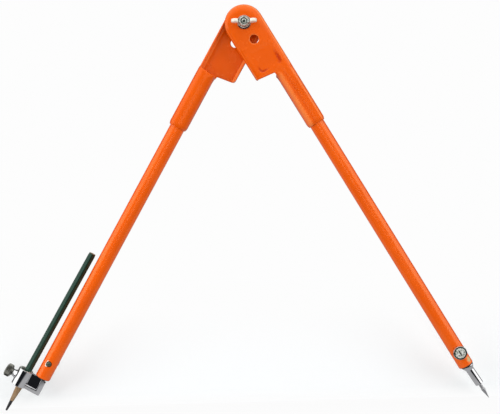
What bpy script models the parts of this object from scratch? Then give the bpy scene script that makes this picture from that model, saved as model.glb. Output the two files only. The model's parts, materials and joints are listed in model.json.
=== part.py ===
# Carpenters compass: two pressed head brackets on a clamped pivot, each with a long tube leg.
# The right leg ends in a steel needle, the left one in a clamp that holds a pencil.
# All lengths are in metres. The compass stands on its two points, opened as for drawing.
#
# Each leg is modelled in its own frame: the pivot is the origin, the leg runs down -Z, +X points
# outward, away from the other leg, and -Y is the side of its cheek and of its thumbscrew.
# The left leg is the same leg turned half round about the vertical, so its cheek is at the rear.

import math

import bmesh
import bpy
from mathutils import Matrix, Vector

# Opening
LEG_OPENING = math.radians(60.0)

# Clearances
FIT_GAP = 0.0003
SLIDE_GAP = 0.0004
OVERRUN = 0.0010

# Legs
TUBE_DIAMETER = 0.0150
TUBE_WALL = 0.0016
TUBE_END_DROP = 0.4038
TUBE_LIP_RADIUS = 0.0008
LEG_GAP_CLOSED = 0.0009

# Head brackets
SHEET = 0.0016
SOCKET_WIDTH = 0.0189
SOCKET_DROP = 0.1217
SOCKET_TAPER = 0.0030
SOCKET_SHOULDER = 0.0090
CHEEK_STEP = 0.0001
HEAD_BOTTOM_DROP = 0.0578
HEAD_CORNER_DROP = 0.0552
HEAD_DRAFT = 0.0003
HEAD_BEND_RADIUS = 0.0048
FLANGE_GAP = 0.0010
FLANGE_STRAIGHT = 0.0005
SWING_GAP = 0.0018
SEAM_STEP = 0.00005
HANG_HOLE_DIAMETER = 0.0088
HANG_HOLE_DROP = 0.0191
HANG_HOLE_CHAMFER = 0.0006
PANEL_DEPTH = 0.0006
PANEL_WIDTH = 0.0220
PANEL_TOP_DROP = 0.0290
PANEL_BOTTOM_DROP = 0.0510
PANEL_CORNER = 0.0030

# Pivot
BOLT_DIAMETER = 0.0060
BOLT_HEAD_DIAMETER = 0.0140
BOLT_HEAD_HEIGHT = 0.0036
BOLT_NECK_WIDTH = 0.0062
BOLT_END_RECESS = 0.0006
BUSH_DIAMETER = 0.0120
FRICTION_WASHER_DIAMETER = 0.0170
FRICTION_WASHER_THICKNESS = 0.0010
WASHER_DIAMETER = 0.0138
WASHER_THICKNESS = 0.0010
SPRING_WASHER_DIAMETER = 0.0110
SPRING_WASHER_THICKNESS = 0.0010
SPRING_WASHER_SPLIT = 0.0008
NUT_HUB_DIAMETER = 0.0106
NUT_NOSE_DIAMETER = 0.0086
NUT_HUB_HEIGHT = 0.0048
NUT_WING_SPAN = 0.0252
NUT_WING_RISE = 0.0088
NUT_WING_THICKNESS = 0.0034
NUT_LOBE_RADIUS = 0.0038
NUT_WING_ROOT_SHARES = (0.12, 0.80)

# Thumbscrews through the tube ends
FOOT_SCREW_RISE = 0.0164
FOOT_SCREW_DIAMETER = 0.0050
FOOT_HEAD_DIAMETER = 0.0136
FOOT_HEAD_THICKNESS = 0.0044
FOOT_HEAD_DISH = 0.0005
FOOT_HEAD_SLOT_WIDTH = 0.0014
FOOT_HEAD_SLOT_DEPTH = 0.0012

# Needle holder and needle
SPIGOT_DIAMETER = 0.0096
SPIGOT_LENGTH = 0.0240
NEEDLE_HOLDER_LEAN = math.radians(2.4)
SHOULDER_DIAMETER = 0.0122
SHOULDER_HEIGHT = 0.0012
SHOULDER_TAPER = 0.0034
NOSE_DIAMETER = 0.0082
NOSE_REACH = 0.0226
NEEDLE_DIAMETER = 0.0030
NEEDLE_SEAT = 0.0120
NEEDLE_COLLAR_DIAMETER = 0.0037
NEEDLE_CONE = 0.0096
NEEDLE_REACH = 0.0398
NEEDLE_TIP_RADIUS = 0.0001

# Pencil
PENCIL_ACROSS_FLATS = 0.0069
PENCIL_SPACING = 0.0162
PENCIL_LEAN = math.radians(0.6)
PENCIL_TURN = math.radians(10.0)
PENCIL_LENGTH = 0.1778
PENCIL_REACH = 0.0458
WOOD_CONE = 0.0225
WOOD_EDGE = 0.0003
LEAD_DIAMETER = 0.0032
LEAD_EXPOSED = 0.0113
LEAD_TAPER = 0.0085
LEAD_TIP_RADIUS = 0.0010
LEAD_GAP = 0.00015

# Pencil holder and clamp
WEB_THICKNESS = 0.0024
RIM_WIDTH = 0.0046
RIM_DEPTH = 0.0068
RIM_EDGE_RADIUS = 0.0012
RING_TOP_BELOW_TUBE = 0.0005
RING_HEIGHT = 0.0172
RING_WALL = 0.0012
RING_DIAMETER = 0.0146
RING_CORNER_WIDTH = 0.0042
RING_CORNER_DROP = 0.0036
CLAMP_SCREW_DIAMETER = 0.0040
CLAMP_BOSS_DIAMETER = 0.0086
CLAMP_BOSS_NOSE_DIAMETER = 0.0066
CLAMP_BOSS_LENGTH = 0.0034
CLAMP_KNOB_DIAMETER = 0.0127
CLAMP_KNOB_THICKNESS = 0.0058
CLAMP_COLLAR_DIAMETER = 0.0074
CLAMP_COLLAR_LENGTH = 0.0012
CLAMP_PAD_DIAMETER = 0.0062
CLAMP_PAD_THICKNESS = 0.0011
KNURL_DEPTH = 0.0004
KNURL_TEETH = 20

# Fineness
ROUND_SIDES = 28
FINE_SIDES = 40
BEND_STEPS = 8
SOCKET_SIDES = BEND_STEPS * 4
ARC_STEPS = 24
LOBE_STEPS = 8
DOME_STEPS = 5
LIP_STEPS = 3
SQUARE_POWER = 14.0
ROUND_POWER = 2.0
SOCKET_POWER = 2.5

# Sizes that follow
TUBE_RADIUS = TUBE_DIAMETER / 2
TUBE_BORE_RADIUS = TUBE_RADIUS - TUBE_WALL
TUBE_OFFSET = (SOCKET_WIDTH + LEG_GAP_CLOSED) / 2
SOCKET_HALF_DEPTH = TUBE_RADIUS + SLIDE_GAP + SHEET
HEAD_HALF_DEPTH = SOCKET_HALF_DEPTH + CHEEK_STEP
HEAD_RADIUS = TUBE_OFFSET + SOCKET_WIDTH / 2
FLANGE_HALF = FLANGE_GAP / 2 + FLANGE_STRAIGHT
HEAD_BEND_RISE = HEAD_HALF_DEPTH - FLANGE_HALF
CHEEK_INSIDE = HEAD_HALF_DEPTH - SHEET
SWING_RADIUS = math.hypot(HEAD_CORNER_DROP, HEAD_RADIUS) + SWING_GAP
TUBE_TOP_DROP = SWING_RADIUS + SWING_GAP
BOLT_RADIUS = BOLT_DIAMETER / 2
NUT_BASE = HEAD_HALF_DEPTH + WASHER_THICKNESS + SPRING_WASHER_THICKNESS + 3 * FIT_GAP
BUSH_HALF_LENGTH = CHEEK_INSIDE - FRICTION_WASHER_THICKNESS - 2 * FIT_GAP
FOOT_SCREW_DROP = TUBE_END_DROP - FOOT_SCREW_RISE
NEEDLE_TIP_DROP = TUBE_END_DROP + NEEDLE_REACH
PENCIL_TIP_DROP = TUBE_END_DROP + PENCIL_REACH
FOOT_SCREW_RADIUS = FOOT_SCREW_DIAMETER / 2
SHOULDER_GAP = FIT_GAP + SHOULDER_DIAMETER / 2 * math.sin(NEEDLE_HOLDER_LEAN)
PENCIL_CORNER_RADIUS = PENCIL_ACROSS_FLATS / 2 / math.cos(math.pi / 6)
PENCIL_OFFSET = TUBE_OFFSET + PENCIL_SPACING
RING_RADIUS = RING_DIAMETER / 2
RING_BORE_RADIUS = RING_RADIUS - RING_WALL
RING_TOP_DROP = TUBE_END_DROP + RING_TOP_BELOW_TUBE
RING_BOTTOM_DROP = RING_TOP_DROP + RING_HEIGHT
RING_MIDDLE_DROP = (RING_TOP_DROP + RING_BOTTOM_DROP) / 2
RING_LEAN_SLACK = RING_HEIGHT / 2 * math.sin(PENCIL_LEAN)
RING_OFFSET = PENCIL_OFFSET - PENCIL_CORNER_RADIUS - FIT_GAP - RING_LEAN_SLACK + RING_BORE_RADIUS
BOSS_SEAT = math.sqrt(RING_RADIUS ** 2 - (CLAMP_BOSS_DIAMETER / 2) ** 2)

# Colours, roughness and metallic values
ORANGE = ((0.80, 0.105, 0.010), 0.32, 0.0)
CHROME = ((0.80, 0.80, 0.81), 0.10, 1.0)
ZINC = ((0.62, 0.62, 0.60), 0.30, 1.0)
FIBRE = ((0.05, 0.045, 0.04), 0.70, 0.0)
NEEDLE_STEEL = ((0.50, 0.50, 0.51), 0.28, 1.0)
KNURLED_STEEL = ((0.36, 0.36, 0.33), 0.45, 1.0)
PENCIL_GREEN = ((0.018, 0.052, 0.038), 0.30, 0.0)
GRAPHITE = ((0.05, 0.05, 0.055), 0.45, 0.3)


def clear_scene():
    for old in list(bpy.data.objects):
        bpy.data.objects.remove(old, do_unlink=True)


def material(name, finish):
    found = bpy.data.materials.get(name)
    if found:
        return found
    colour, roughness, metallic = finish
    made = bpy.data.materials.new(name)
    made.use_nodes = True
    shader = made.node_tree.nodes["Principled BSDF"]
    shader.inputs["Base Color"].default_value = (*colour, 1.0)
    shader.inputs["Roughness"].default_value = roughness
    shader.inputs["Metallic"].default_value = metallic
    return made


def add_empty(name, parent=None, location=(0, 0, 0), rotation=(0, 0, 0)):
    made = bpy.data.objects.new(name, None)
    bpy.context.scene.collection.objects.link(made)
    made.parent = parent
    made.location = location
    made.rotation_euler = rotation
    return made


def add_object(name, work, parent, finish_name=None, finish=None):
    """Turn a bmesh into a parented object with outward faces, smooth where it is round."""
    bmesh.ops.recalc_face_normals(work, faces=work.faces)
    if work.calc_volume(signed=True) < 0:
        bmesh.ops.reverse_faces(work, faces=work.faces)
    mesh = bpy.data.meshes.new(name)
    work.to_mesh(mesh)
    work.free()
    mesh.shade_smooth()
    mesh.set_sharp_from_angle(angle=math.radians(32))
    made = bpy.data.objects.new(name, mesh)
    bpy.context.scene.collection.objects.link(made)
    made.parent = parent
    if finish:
        made.data.materials.append(material(finish_name, finish))
    return made


def hide_tool(tool):
    tool.hide_render = True
    tool.display_type = "WIRE"


def add_boolean(target, tool, operation):
    """Cut a hidden tool from an object, or join it on."""
    step = target.modifiers.new(tool.name, "BOOLEAN")
    step.operation = operation
    step.solver = "EXACT"
    step.object = tool
    hide_tool(tool)


def cut(target, tool):
    add_boolean(target, tool, "DIFFERENCE")


def join(target, tool):
    add_boolean(target, tool, "UNION")


def turned(profile, sides, axis="Y", centre=(0, 0, 0)):
    """Revolve (position, radius) pairs about an axis through the centre, as one closed body."""
    work = bmesh.new()
    rows = []
    for position, radius in profile:
        count = sides if radius > 0 else 1
        row = []
        for index in range(count):
            angle = 2 * math.pi * index / sides
            row.append(work.verts.new((radius * math.cos(angle), radius * math.sin(angle), position)))
        rows.append(row)
    for first, second in zip(rows, rows[1:]):
        bridge_rows(work, first, second, sides)
    for row in (rows[0], rows[-1]):
        if len(row) > 1:
            work.faces.new(row)
    bmesh.ops.transform(work, matrix=Matrix.Translation(centre) @ AXIS_TURNS[axis], verts=work.verts)
    return work


AXIS_TURNS = {
    "Z": Matrix.Identity(4),
    "Y": Matrix.Rotation(math.radians(-90), 4, "X"),
    "X": Matrix.Rotation(math.radians(90), 4, "Y"),
}


def bridge_rows(work, first, second, sides):
    """Face the strip between two rings, either of which may be a single point."""
    for index in range(sides):
        after = (index + 1) % sides
        if len(first) == 1:
            work.faces.new((first[0], second[after], second[index]))
        elif len(second) == 1:
            work.faces.new((first[index], first[after], second[0]))
        else:
            work.faces.new((first[index], first[after], second[after], second[index]))


def ring_turned(profile, sides, axis="Y", centre=(0, 0, 0)):
    """Revolve a closed outline of (position, radius) pairs, for a body with a hole through it."""
    work = bmesh.new()
    rows = []
    for position, radius in profile:
        row = []
        for index in range(sides):
            angle = 2 * math.pi * index / sides
            row.append(work.verts.new((radius * math.cos(angle), radius * math.sin(angle), position)))
        rows.append(row)
    for first, second in zip(rows, rows[1:] + rows[:1]):
        bridge_rows(work, first, second, sides)
    bmesh.ops.transform(work, matrix=Matrix.Translation(centre) @ AXIS_TURNS[axis], verts=work.verts)
    return work


def prism(outline, low, high):
    """Extrude an outline of (x, z) points along Y."""
    work = bmesh.new()
    front = [work.verts.new((x, low, z)) for x, z in outline]
    back = [work.verts.new((x, high, z)) for x, z in outline]
    bridge_rows(work, front, back, len(outline))
    work.faces.new(front)
    work.faces.new(back)
    return work


def loft(rings):
    """Skin a run of rings with the same number of points, with flat ends."""
    work = bmesh.new()
    rows = [[work.verts.new(point) for point in ring] for ring in rings]
    for first, second in zip(rows, rows[1:]):
        bridge_rows(work, first, second, len(first))
    work.faces.new(rows[0])
    work.faces.new(rows[-1])
    return work


def box(low, high):
    work = bmesh.new()
    bmesh.ops.create_cube(work, size=1.0)
    for vert in work.verts:
        for axis in range(3):
            vert.co[axis] = low[axis] if vert.co[axis] < 0 else high[axis]
    return work


def round_edges(work, radius, segments, wanted):
    """Bevel the edges that a test on their two ends picks."""
    edges = [edge for edge in work.edges if wanted(*[vert.co for vert in edge.verts])]
    bmesh.ops.bevel(work, geom=edges, offset=radius, segments=segments, profile=0.5, affect="EDGES")


def knurled(profile, sides, axis, centre):
    """A turned knob whose widest rings are notched all round."""
    work = turned(profile, sides, axis, centre)
    widest = max(radius for _, radius in profile)
    line = AXIS_TURNS[axis].to_3x3() @ Vector((0, 0, 1))
    for vert in work.verts:
        arm = vert.co - Vector(centre)
        arm -= line * arm.dot(line)
        if arm.length > widest - KNURL_DEPTH / 2 and knurl_valley(arm, axis, sides):
            vert.co -= arm.normalized() * KNURL_DEPTH
    return work


def knurl_valley(arm, axis, sides):
    flat = AXIS_TURNS[axis].to_3x3().inverted() @ arm
    turn = math.atan2(flat.y, flat.x) % (2 * math.pi)
    return round(turn * sides / (2 * math.pi)) % 2 == 1


def power_curve(value, power):
    """The sine or cosine of a rounded square with the given power."""
    return math.copysign(abs(value) ** (2 / power), value)


def socket_ring(drop, half_width, half_depth, inner_power, straight=0.0):
    """One section of the socket: rounded, and squarer on its inner side where it meets the cheek.

    Its outer side starts with a straight as long as that of the head's rim.
    """
    ring = []
    for index in range(SOCKET_SIDES):
        angle = 2 * math.pi * index / SOCKET_SIDES
        outer = math.cos(angle) > 0
        power = SOCKET_POWER if outer else inner_power
        x = TUBE_OFFSET + half_width * power_curve(math.cos(angle), power)
        rise = power_curve(math.sin(angle), power)
        if outer and rise <= 0:
            y = (half_depth - straight) * rise - straight
        else:
            y = half_depth * rise
        ring.append((x, y, -drop))
    return ring


def socket_body(inset, end_half_width, end_drop):
    """The socket's outside, or its bore when inset by the sheet."""
    half_width = SOCKET_WIDTH / 2 - inset
    head_depth = HEAD_HALF_DEPTH - SEAM_STEP - inset
    half_depth = SOCKET_HALF_DEPTH - inset
    shoulder_powers = (SQUARE_POWER, SQUARE_POWER / 2, (SQUARE_POWER + SOCKET_POWER) / 5, SOCKET_POWER)
    top_drop = HEAD_BOTTOM_DROP - SOCKET_SHOULDER
    rings = [socket_ring(top_drop, half_width - SEAM_STEP, head_depth, SQUARE_POWER, FLANGE_HALF)]
    for step, power in enumerate(shoulder_powers):
        share = step / (len(shoulder_powers) - 1)
        drop = HEAD_BOTTOM_DROP + share * SOCKET_SHOULDER
        depth = head_depth + share * (half_depth - head_depth)
        left = 1 - share
        rings.append(socket_ring(drop, half_width - SEAM_STEP * left, depth, power, FLANGE_HALF * left))
    taper_drop = SOCKET_DROP - SOCKET_TAPER
    rings.append(socket_ring(taper_drop, half_width, half_depth, SOCKET_POWER))
    end_half_depth = min(end_half_width, half_depth)
    rings.append(socket_ring(end_drop, end_half_width, end_half_depth, ROUND_POWER))
    return loft(rings)


def head_body(inset, back, bottom_drop):
    """The head's outside, or its hollow when inset by the sheet: a pan with a bent rim.

    Each station is a line from the middle of the cheek out to the rim. The rim goes up the inner
    side, round the pivot and down the outer side, and its bend opens out there to the socket's.
    """
    rim_radius = HEAD_RADIUS - inset
    front = -(HEAD_HALF_DEPTH - inset)
    draft = HEAD_DRAFT * bottom_drop / HEAD_BOTTOM_DROP
    stations = [((-(rim_radius - draft), -bottom_drop), (1.0, 0.0), 0.0)]
    for step in range(ARC_STEPS + 1):
        share = step / ARC_STEPS
        angle = math.pi * share
        rim = (-rim_radius * math.cos(angle), rim_radius * math.sin(angle))
        stations.append((rim, (math.cos(angle), -math.sin(angle)), share))
    stations.append(((rim_radius, -bottom_drop), (-1.0, 0.0), 1.0))
    work = bmesh.new()
    rows = []
    for (x, z), (inward_x, inward_z), share in stations:
        blend = share * share * (3 - 2 * share)
        reach = HEAD_BEND_RADIUS + blend * (SOCKET_WIDTH / 2 - HEAD_BEND_RADIUS) - inset
        rise = HEAD_BEND_RADIUS + blend * (HEAD_BEND_RISE - HEAD_BEND_RADIUS) - inset
        power = ROUND_POWER + blend * (SOCKET_POWER - ROUND_POWER)
        row = [work.verts.new((x, back, z))]
        for step in range(BEND_STEPS + 1):
            angle = math.pi / 2 * step / BEND_STEPS
            distance = reach * (1 - power_curve(max(math.cos(angle), 0.0), power))
            y = front + rise * (1 - power_curve(math.sin(angle), power))
            row.append(work.verts.new((x + inward_x * distance, y, z + inward_z * distance)))
        rows.append(row)
    for first, second in zip(rows, rows[1:]):
        for index in range(len(first) - 1):
            work.faces.new((first[index], first[index + 1], second[index + 1], second[index]))
    work.faces.new([row[-1] for row in rows])
    work.faces.new([row[0] for row in rows])
    work.faces.new(rows[0] + rows[-1][::-1])
    return work


def swing_tool(leg):
    """Room behind the mid plane for the other bracket to swing in, down to the socket's rim."""
    rim = -FLANGE_GAP / 2 + SEAM_STEP
    profile = ((rim, SWING_RADIUS), (HEAD_HALF_DEPTH + OVERRUN, SWING_RADIUS))
    return add_object(leg.name + "_swing_room", turned(profile, FINE_SIDES * 2), leg)


def bottom_edge_tool(leg):
    """The slanted lower edge of the cheek, from the flange's corner to the notch at the socket."""
    notch = TUBE_OFFSET - SOCKET_WIDTH / 2
    far = -HEAD_RADIUS - OVERRUN
    slope = (HEAD_BOTTOM_DROP - HEAD_CORNER_DROP) / (notch + HEAD_RADIUS)
    far_drop = HEAD_CORNER_DROP - slope * OVERRUN
    low = HEAD_BOTTOM_DROP + OVERRUN
    outline = ((far, -far_drop), (notch, -HEAD_BOTTOM_DROP), (notch, -low), (far, -low))
    return add_object(leg.name + "_bottom_edge", prism(outline, -HEAD_HALF_DEPTH - OVERRUN, OVERRUN), leg)


def panel_tool(leg):
    """A shallow pressed panel that deepens toward its lower corners."""
    depth = -HEAD_HALF_DEPTH
    work = box((-PANEL_WIDTH / 2, depth - OVERRUN, -PANEL_BOTTOM_DROP),
               (PANEL_WIDTH / 2, depth + PANEL_DEPTH, -PANEL_TOP_DROP))
    for vert in work.verts:
        if vert.co.y > depth and vert.co.z > -PANEL_BOTTOM_DROP + OVERRUN:
            vert.co.y = depth - SEAM_STEP
    middle = -(PANEL_TOP_DROP + PANEL_BOTTOM_DROP) / 2
    round_edges(work, PANEL_CORNER, 4, lambda a, b: a.x == b.x and a.z == b.z and a.z < middle)
    return add_object(leg.name + "_panel", work, leg)


def hang_hole_tool(leg):
    radius = HANG_HOLE_DIAMETER / 2
    face = -HEAD_HALF_DEPTH
    profile = (
        (face - OVERRUN, radius + HANG_HOLE_CHAMFER + OVERRUN),
        (face + HANG_HOLE_CHAMFER, radius),
        (-CHEEK_INSIDE + OVERRUN, radius),
    )
    work = turned(profile, ROUND_SIDES, "Y", (0, 0, -HANG_HOLE_DROP))
    return add_object(leg.name + "_hang_hole", work, leg)


def pivot_hole_tool(leg, square):
    name = leg.name + "_pivot_hole"
    low, high = -HEAD_HALF_DEPTH - OVERRUN, -CHEEK_INSIDE + OVERRUN
    if square:
        half = BOLT_NECK_WIDTH / 2 + FIT_GAP
        return add_object(name, box((-half, low, -half), (half, high, half)), leg)
    radius = BOLT_RADIUS + SLIDE_GAP
    return add_object(name, turned(((low, radius), (high, radius)), ROUND_SIDES), leg)


def bracket(name, leg, square_hole):
    """Pressed cheek, bent rim and rolled socket, all of one sheet."""
    rim = -FLANGE_GAP / 2
    made = add_object(name, head_body(0, rim, HEAD_BOTTOM_DROP), leg, "orange_paint", ORANGE)
    lip = TUBE_RADIUS + FIT_GAP
    join(made, add_object(name + "_socket", socket_body(0, lip + SHEET / 2, SOCKET_DROP), leg))
    hollow = head_body(SHEET, OVERRUN, SWING_RADIUS - FIT_GAP)
    cut(made, add_object(name + "_hollow", hollow, leg))
    cut(made, add_object(name + "_bore", socket_body(SHEET, lip, SOCKET_DROP + OVERRUN), leg))
    cut(made, bottom_edge_tool(leg))
    cut(made, swing_tool(leg))
    cut(made, panel_tool(leg))
    cut(made, hang_hole_tool(leg))
    cut(made, pivot_hole_tool(leg, square_hole))
    return made


def tube(name, leg):
    """Leg tube with a rolled-in lower lip and a cross hole for the thumbscrew."""
    top, end = -TUBE_TOP_DROP, -TUBE_END_DROP
    profile = [(top, TUBE_BORE_RADIUS), (top, TUBE_RADIUS)]
    for step in range(LIP_STEPS + 1):
        angle = math.pi / 2 * step / LIP_STEPS
        radius = TUBE_RADIUS - TUBE_LIP_RADIUS * (1 - math.cos(angle))
        profile.append((end + TUBE_LIP_RADIUS * (1 - math.sin(angle)), radius))
    profile.append((end, TUBE_BORE_RADIUS))
    work = ring_turned(profile, FINE_SIDES, "Z", (TUBE_OFFSET, 0, 0))
    made = add_object(name, work, leg, "orange_paint", ORANGE)
    radius = FOOT_SCREW_RADIUS + SLIDE_GAP
    reach = TUBE_RADIUS + OVERRUN
    hole = turned(((-reach, radius), (reach, radius)), ROUND_SIDES, "Y", (TUBE_OFFSET, 0, -FOOT_SCREW_DROP))
    cut(made, add_object(name + "_cross_hole", hole, leg))
    return made


def foot_screw(name, leg):
    """Knurled thumbscrew: slotted dished head in front of the tube, shank through to its far wall."""
    seat = -(TUBE_RADIUS + FIT_GAP)
    face = seat - FOOT_HEAD_THICKNESS
    head = FOOT_HEAD_DIAMETER / 2
    edge = KNURL_DEPTH
    profile = (
        (face + FOOT_HEAD_DISH, 0),
        (face + FOOT_HEAD_DISH, head - 5 * edge),
        (face, head - 4 * edge),
        (face, head - 2 * edge),
        (face + edge, head),
        (seat - edge, head),
        (seat, head - 2 * edge),
        (seat, FOOT_SCREW_RADIUS),
        (TUBE_RADIUS - FOOT_HEAD_DISH - KNURL_DEPTH, FOOT_SCREW_RADIUS),
        (TUBE_RADIUS - FOOT_HEAD_DISH, FOOT_SCREW_RADIUS - KNURL_DEPTH),
        (TUBE_RADIUS - FOOT_HEAD_DISH, 0),
    )
    hub = add_empty(name + "_axis", leg, (TUBE_OFFSET, 0, -FOOT_SCREW_DROP))
    made = add_object(name, knurled(profile, KNURL_TEETH * 2, "Y", (0, 0, 0)), hub, "bright_zinc", ZINC)
    half = FOOT_HEAD_SLOT_WIDTH / 2
    length = head - 6 * edge
    floor = face + FOOT_HEAD_DISH + FOOT_HEAD_SLOT_DEPTH
    slot = box((-half, face - OVERRUN, -length), (half, floor, length))
    cut(made, add_object(name + "_slot", slot, hub))
    return made


def cross_hole_tool(name, parent, drop, centre_x):
    """Clearance for a foot thumbscrew through a spigot."""
    radius = FOOT_SCREW_RADIUS + FIT_GAP
    reach = SPIGOT_DIAMETER / 2 + OVERRUN
    hole = turned(((-reach, radius), (reach, radius)), ROUND_SIDES, "Y", (centre_x, 0, -drop))
    return add_object(name, hole, parent)


def needle_foot(leg):
    """Needle holder and needle, which lean outward a little about the thumbscrew."""
    foot = add_empty("needle_foot", leg, (TUBE_OFFSET, 0, -FOOT_SCREW_DROP), (0, -NEEDLE_HOLDER_LEAN, 0))
    seat = FOOT_SCREW_RISE + SHOULDER_GAP
    nose_end = FOOT_SCREW_RISE + NOSE_REACH
    tip = NEEDLE_TIP_DROP - FOOT_SCREW_DROP
    spigot, nose, shoulder = SPIGOT_DIAMETER / 2, NOSE_DIAMETER / 2, SHOULDER_DIAMETER / 2
    bore = NEEDLE_DIAMETER / 2 + FIT_GAP
    bore_top = nose_end - NEEDLE_SEAT - FIT_GAP
    profile = (
        (seat - SPIGOT_LENGTH, 0),
        (seat - SPIGOT_LENGTH, spigot - OVERRUN / 2),
        (seat - SPIGOT_LENGTH + OVERRUN / 2, spigot),
        (seat, spigot),
        (seat, shoulder),
        (seat + SHOULDER_HEIGHT, shoulder),
        (seat + SHOULDER_HEIGHT + SHOULDER_TAPER, nose),
        (nose_end - OVERRUN / 2, nose),
        (nose_end, nose - OVERRUN / 2),
        (nose_end, bore),
        (bore_top, bore),
        (bore_top, 0),
    )
    down = [(-position, radius) for position, radius in profile]
    holder = add_object("needle_holder", turned(down, FINE_SIDES, "Z"), foot, "chrome", CHROME)
    cut(holder, cross_hole_tool("needle_holder_cross_hole", foot, 0, 0))
    shank, collar = NEEDLE_DIAMETER / 2, NEEDLE_COLLAR_DIAMETER / 2
    cone_start = tip - NEEDLE_CONE
    needle_profile = (
        (nose_end - NEEDLE_SEAT, 0),
        (nose_end - NEEDLE_SEAT, shank),
        (cone_start - 2 * (collar - shank), shank),
        (cone_start - (collar - shank), collar),
        (cone_start, collar),
        (tip - NEEDLE_TIP_RADIUS, NEEDLE_TIP_RADIUS),
        (tip, 0),
    )
    down = [(-position, radius) for position, radius in needle_profile]
    add_object("needle", turned(down, ROUND_SIDES, "Z"), foot, "needle_steel", NEEDLE_STEEL)
    return foot


def pencil_holder(leg):
    """Spigot, flat web and raised L-shaped rim that carry the clamp ring beside the tube."""
    top, end = -(TUBE_END_DROP - SPIGOT_LENGTH), -TUBE_END_DROP
    spigot = SPIGOT_DIAMETER / 2
    rise = SPIGOT_LENGTH / 4
    profile = ((top, spigot - OVERRUN / 2), (top - OVERRUN / 2, spigot), (end + rise, spigot))
    work = turned(profile, ROUND_SIDES, "Z", (TUBE_OFFSET, 0, 0))
    made = add_object("pencil_holder", work, leg, "chrome", CHROME)
    left, right = TUBE_OFFSET - spigot, RING_OFFSET - RING_RADIUS * 2 / 3
    bottom = -RING_BOTTOM_DROP
    web = box((left + RIM_WIDTH / 2, -WEB_THICKNESS / 2, bottom + RIM_WIDTH / 2),
              (right, WEB_THICKNESS / 2, -RING_TOP_DROP - RING_TOP_BELOW_TUBE))
    join(made, add_object("pencil_holder_web", web, leg))
    neck_half = spigot - RIM_WIDTH / 4
    neck = box((TUBE_OFFSET - neck_half, -WEB_THICKNESS, -RING_TOP_DROP - RING_TOP_BELOW_TUBE - OVERRUN),
               (TUBE_OFFSET + neck_half, WEB_THICKNESS, end + rise + OVERRUN))
    join(made, add_object("pencil_holder_neck", neck, leg))
    outline = (
        (left, end - FIT_GAP - RIM_WIDTH / 2),
        (left, bottom),
        (right, bottom),
        (right, bottom + RIM_WIDTH),
        (left + RIM_WIDTH, bottom + RIM_WIDTH),
        (left + RIM_WIDTH, end - FIT_GAP),
        (left + RIM_WIDTH / 2, end - FIT_GAP),
    )
    rim = prism(outline, -RIM_DEPTH / 2, RIM_DEPTH / 2)
    round_edges(rim, RIM_EDGE_RADIUS, 3, lambda a, b: a.y == b.y)
    join(made, add_object("pencil_holder_rim", rim, leg))
    clear = RING_RADIUS + FIT_GAP
    reach = OVERRUN + RIM_WIDTH
    room = turned(((bottom - reach, clear), (end, clear)), FINE_SIDES, "Z", (RING_OFFSET, 0, 0))
    cut(made, add_object("pencil_holder_ring_seat", room, leg))
    cut(made, cross_hole_tool("pencil_holder_cross_hole", leg, FOOT_SCREW_DROP, TUBE_OFFSET))
    return made


def clamp_ring(leg):
    """Rolled ring round the pencil, with a hole for the clamp screw on its outer side."""
    edge = RING_WALL / 3
    bore = RING_BORE_RADIUS
    profile = (
        (-RING_BOTTOM_DROP, bore),
        (-RING_TOP_DROP, bore),
        (-RING_TOP_DROP, RING_RADIUS - edge),
        (-RING_TOP_DROP - edge, RING_RADIUS),
        (-RING_BOTTOM_DROP + edge, RING_RADIUS),
        (-RING_BOTTOM_DROP, RING_RADIUS - edge),
    )
    work = ring_turned(profile, FINE_SIDES, "Z", (RING_OFFSET, 0, 0))
    made = add_object("pencil_clamp_ring", work, leg, "chrome", CHROME)
    radius = CLAMP_SCREW_DIAMETER / 2 + SLIDE_GAP
    middle = (RING_OFFSET, 0, -RING_MIDDLE_DROP)
    hole = turned(((0, radius), (RING_DIAMETER, radius)), ROUND_SIDES, "X", middle)
    cut(made, add_object("pencil_clamp_ring_hole", hole, leg))
    far, slope = RING_OFFSET + RING_RADIUS, RING_CORNER_DROP / RING_CORNER_WIDTH
    high = -RING_TOP_DROP + slope * OVERRUN
    outline = (
        (far - RING_CORNER_WIDTH - OVERRUN, high),
        (far + OVERRUN, high),
        (far + OVERRUN, -RING_TOP_DROP - RING_CORNER_DROP - slope * OVERRUN),
    )
    corner = prism(outline, -RING_DIAMETER, RING_DIAMETER)
    cut(made, add_object("pencil_clamp_ring_corner", corner, leg))
    return made


def clamp_boss(leg):
    """Threaded boss whose base is shaped to the ring."""
    bore = CLAMP_SCREW_DIAMETER / 2 + FIT_GAP
    wide, nose = CLAMP_BOSS_DIAMETER / 2, CLAMP_BOSS_NOSE_DIAMETER / 2
    end = RING_RADIUS + CLAMP_BOSS_LENGTH
    shoulder = RING_RADIUS + CLAMP_BOSS_LENGTH / 2
    profile = ((BOSS_SEAT, bore), (BOSS_SEAT, wide), (shoulder, wide), (end, nose), (end, bore))
    work = ring_turned(profile, ROUND_SIDES, "X", (RING_OFFSET, 0, -RING_MIDDLE_DROP))
    made = add_object("pencil_clamp_boss", work, leg, "chrome", CHROME)
    clear = RING_RADIUS + FIT_GAP
    profile = ((-RING_BOTTOM_DROP - OVERRUN, clear), (-RING_TOP_DROP + OVERRUN, clear))
    seat = turned(profile, FINE_SIDES, "Z", (RING_OFFSET, 0, 0))
    cut(made, add_object("pencil_clamp_boss_seat", seat, leg))
    return made


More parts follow.
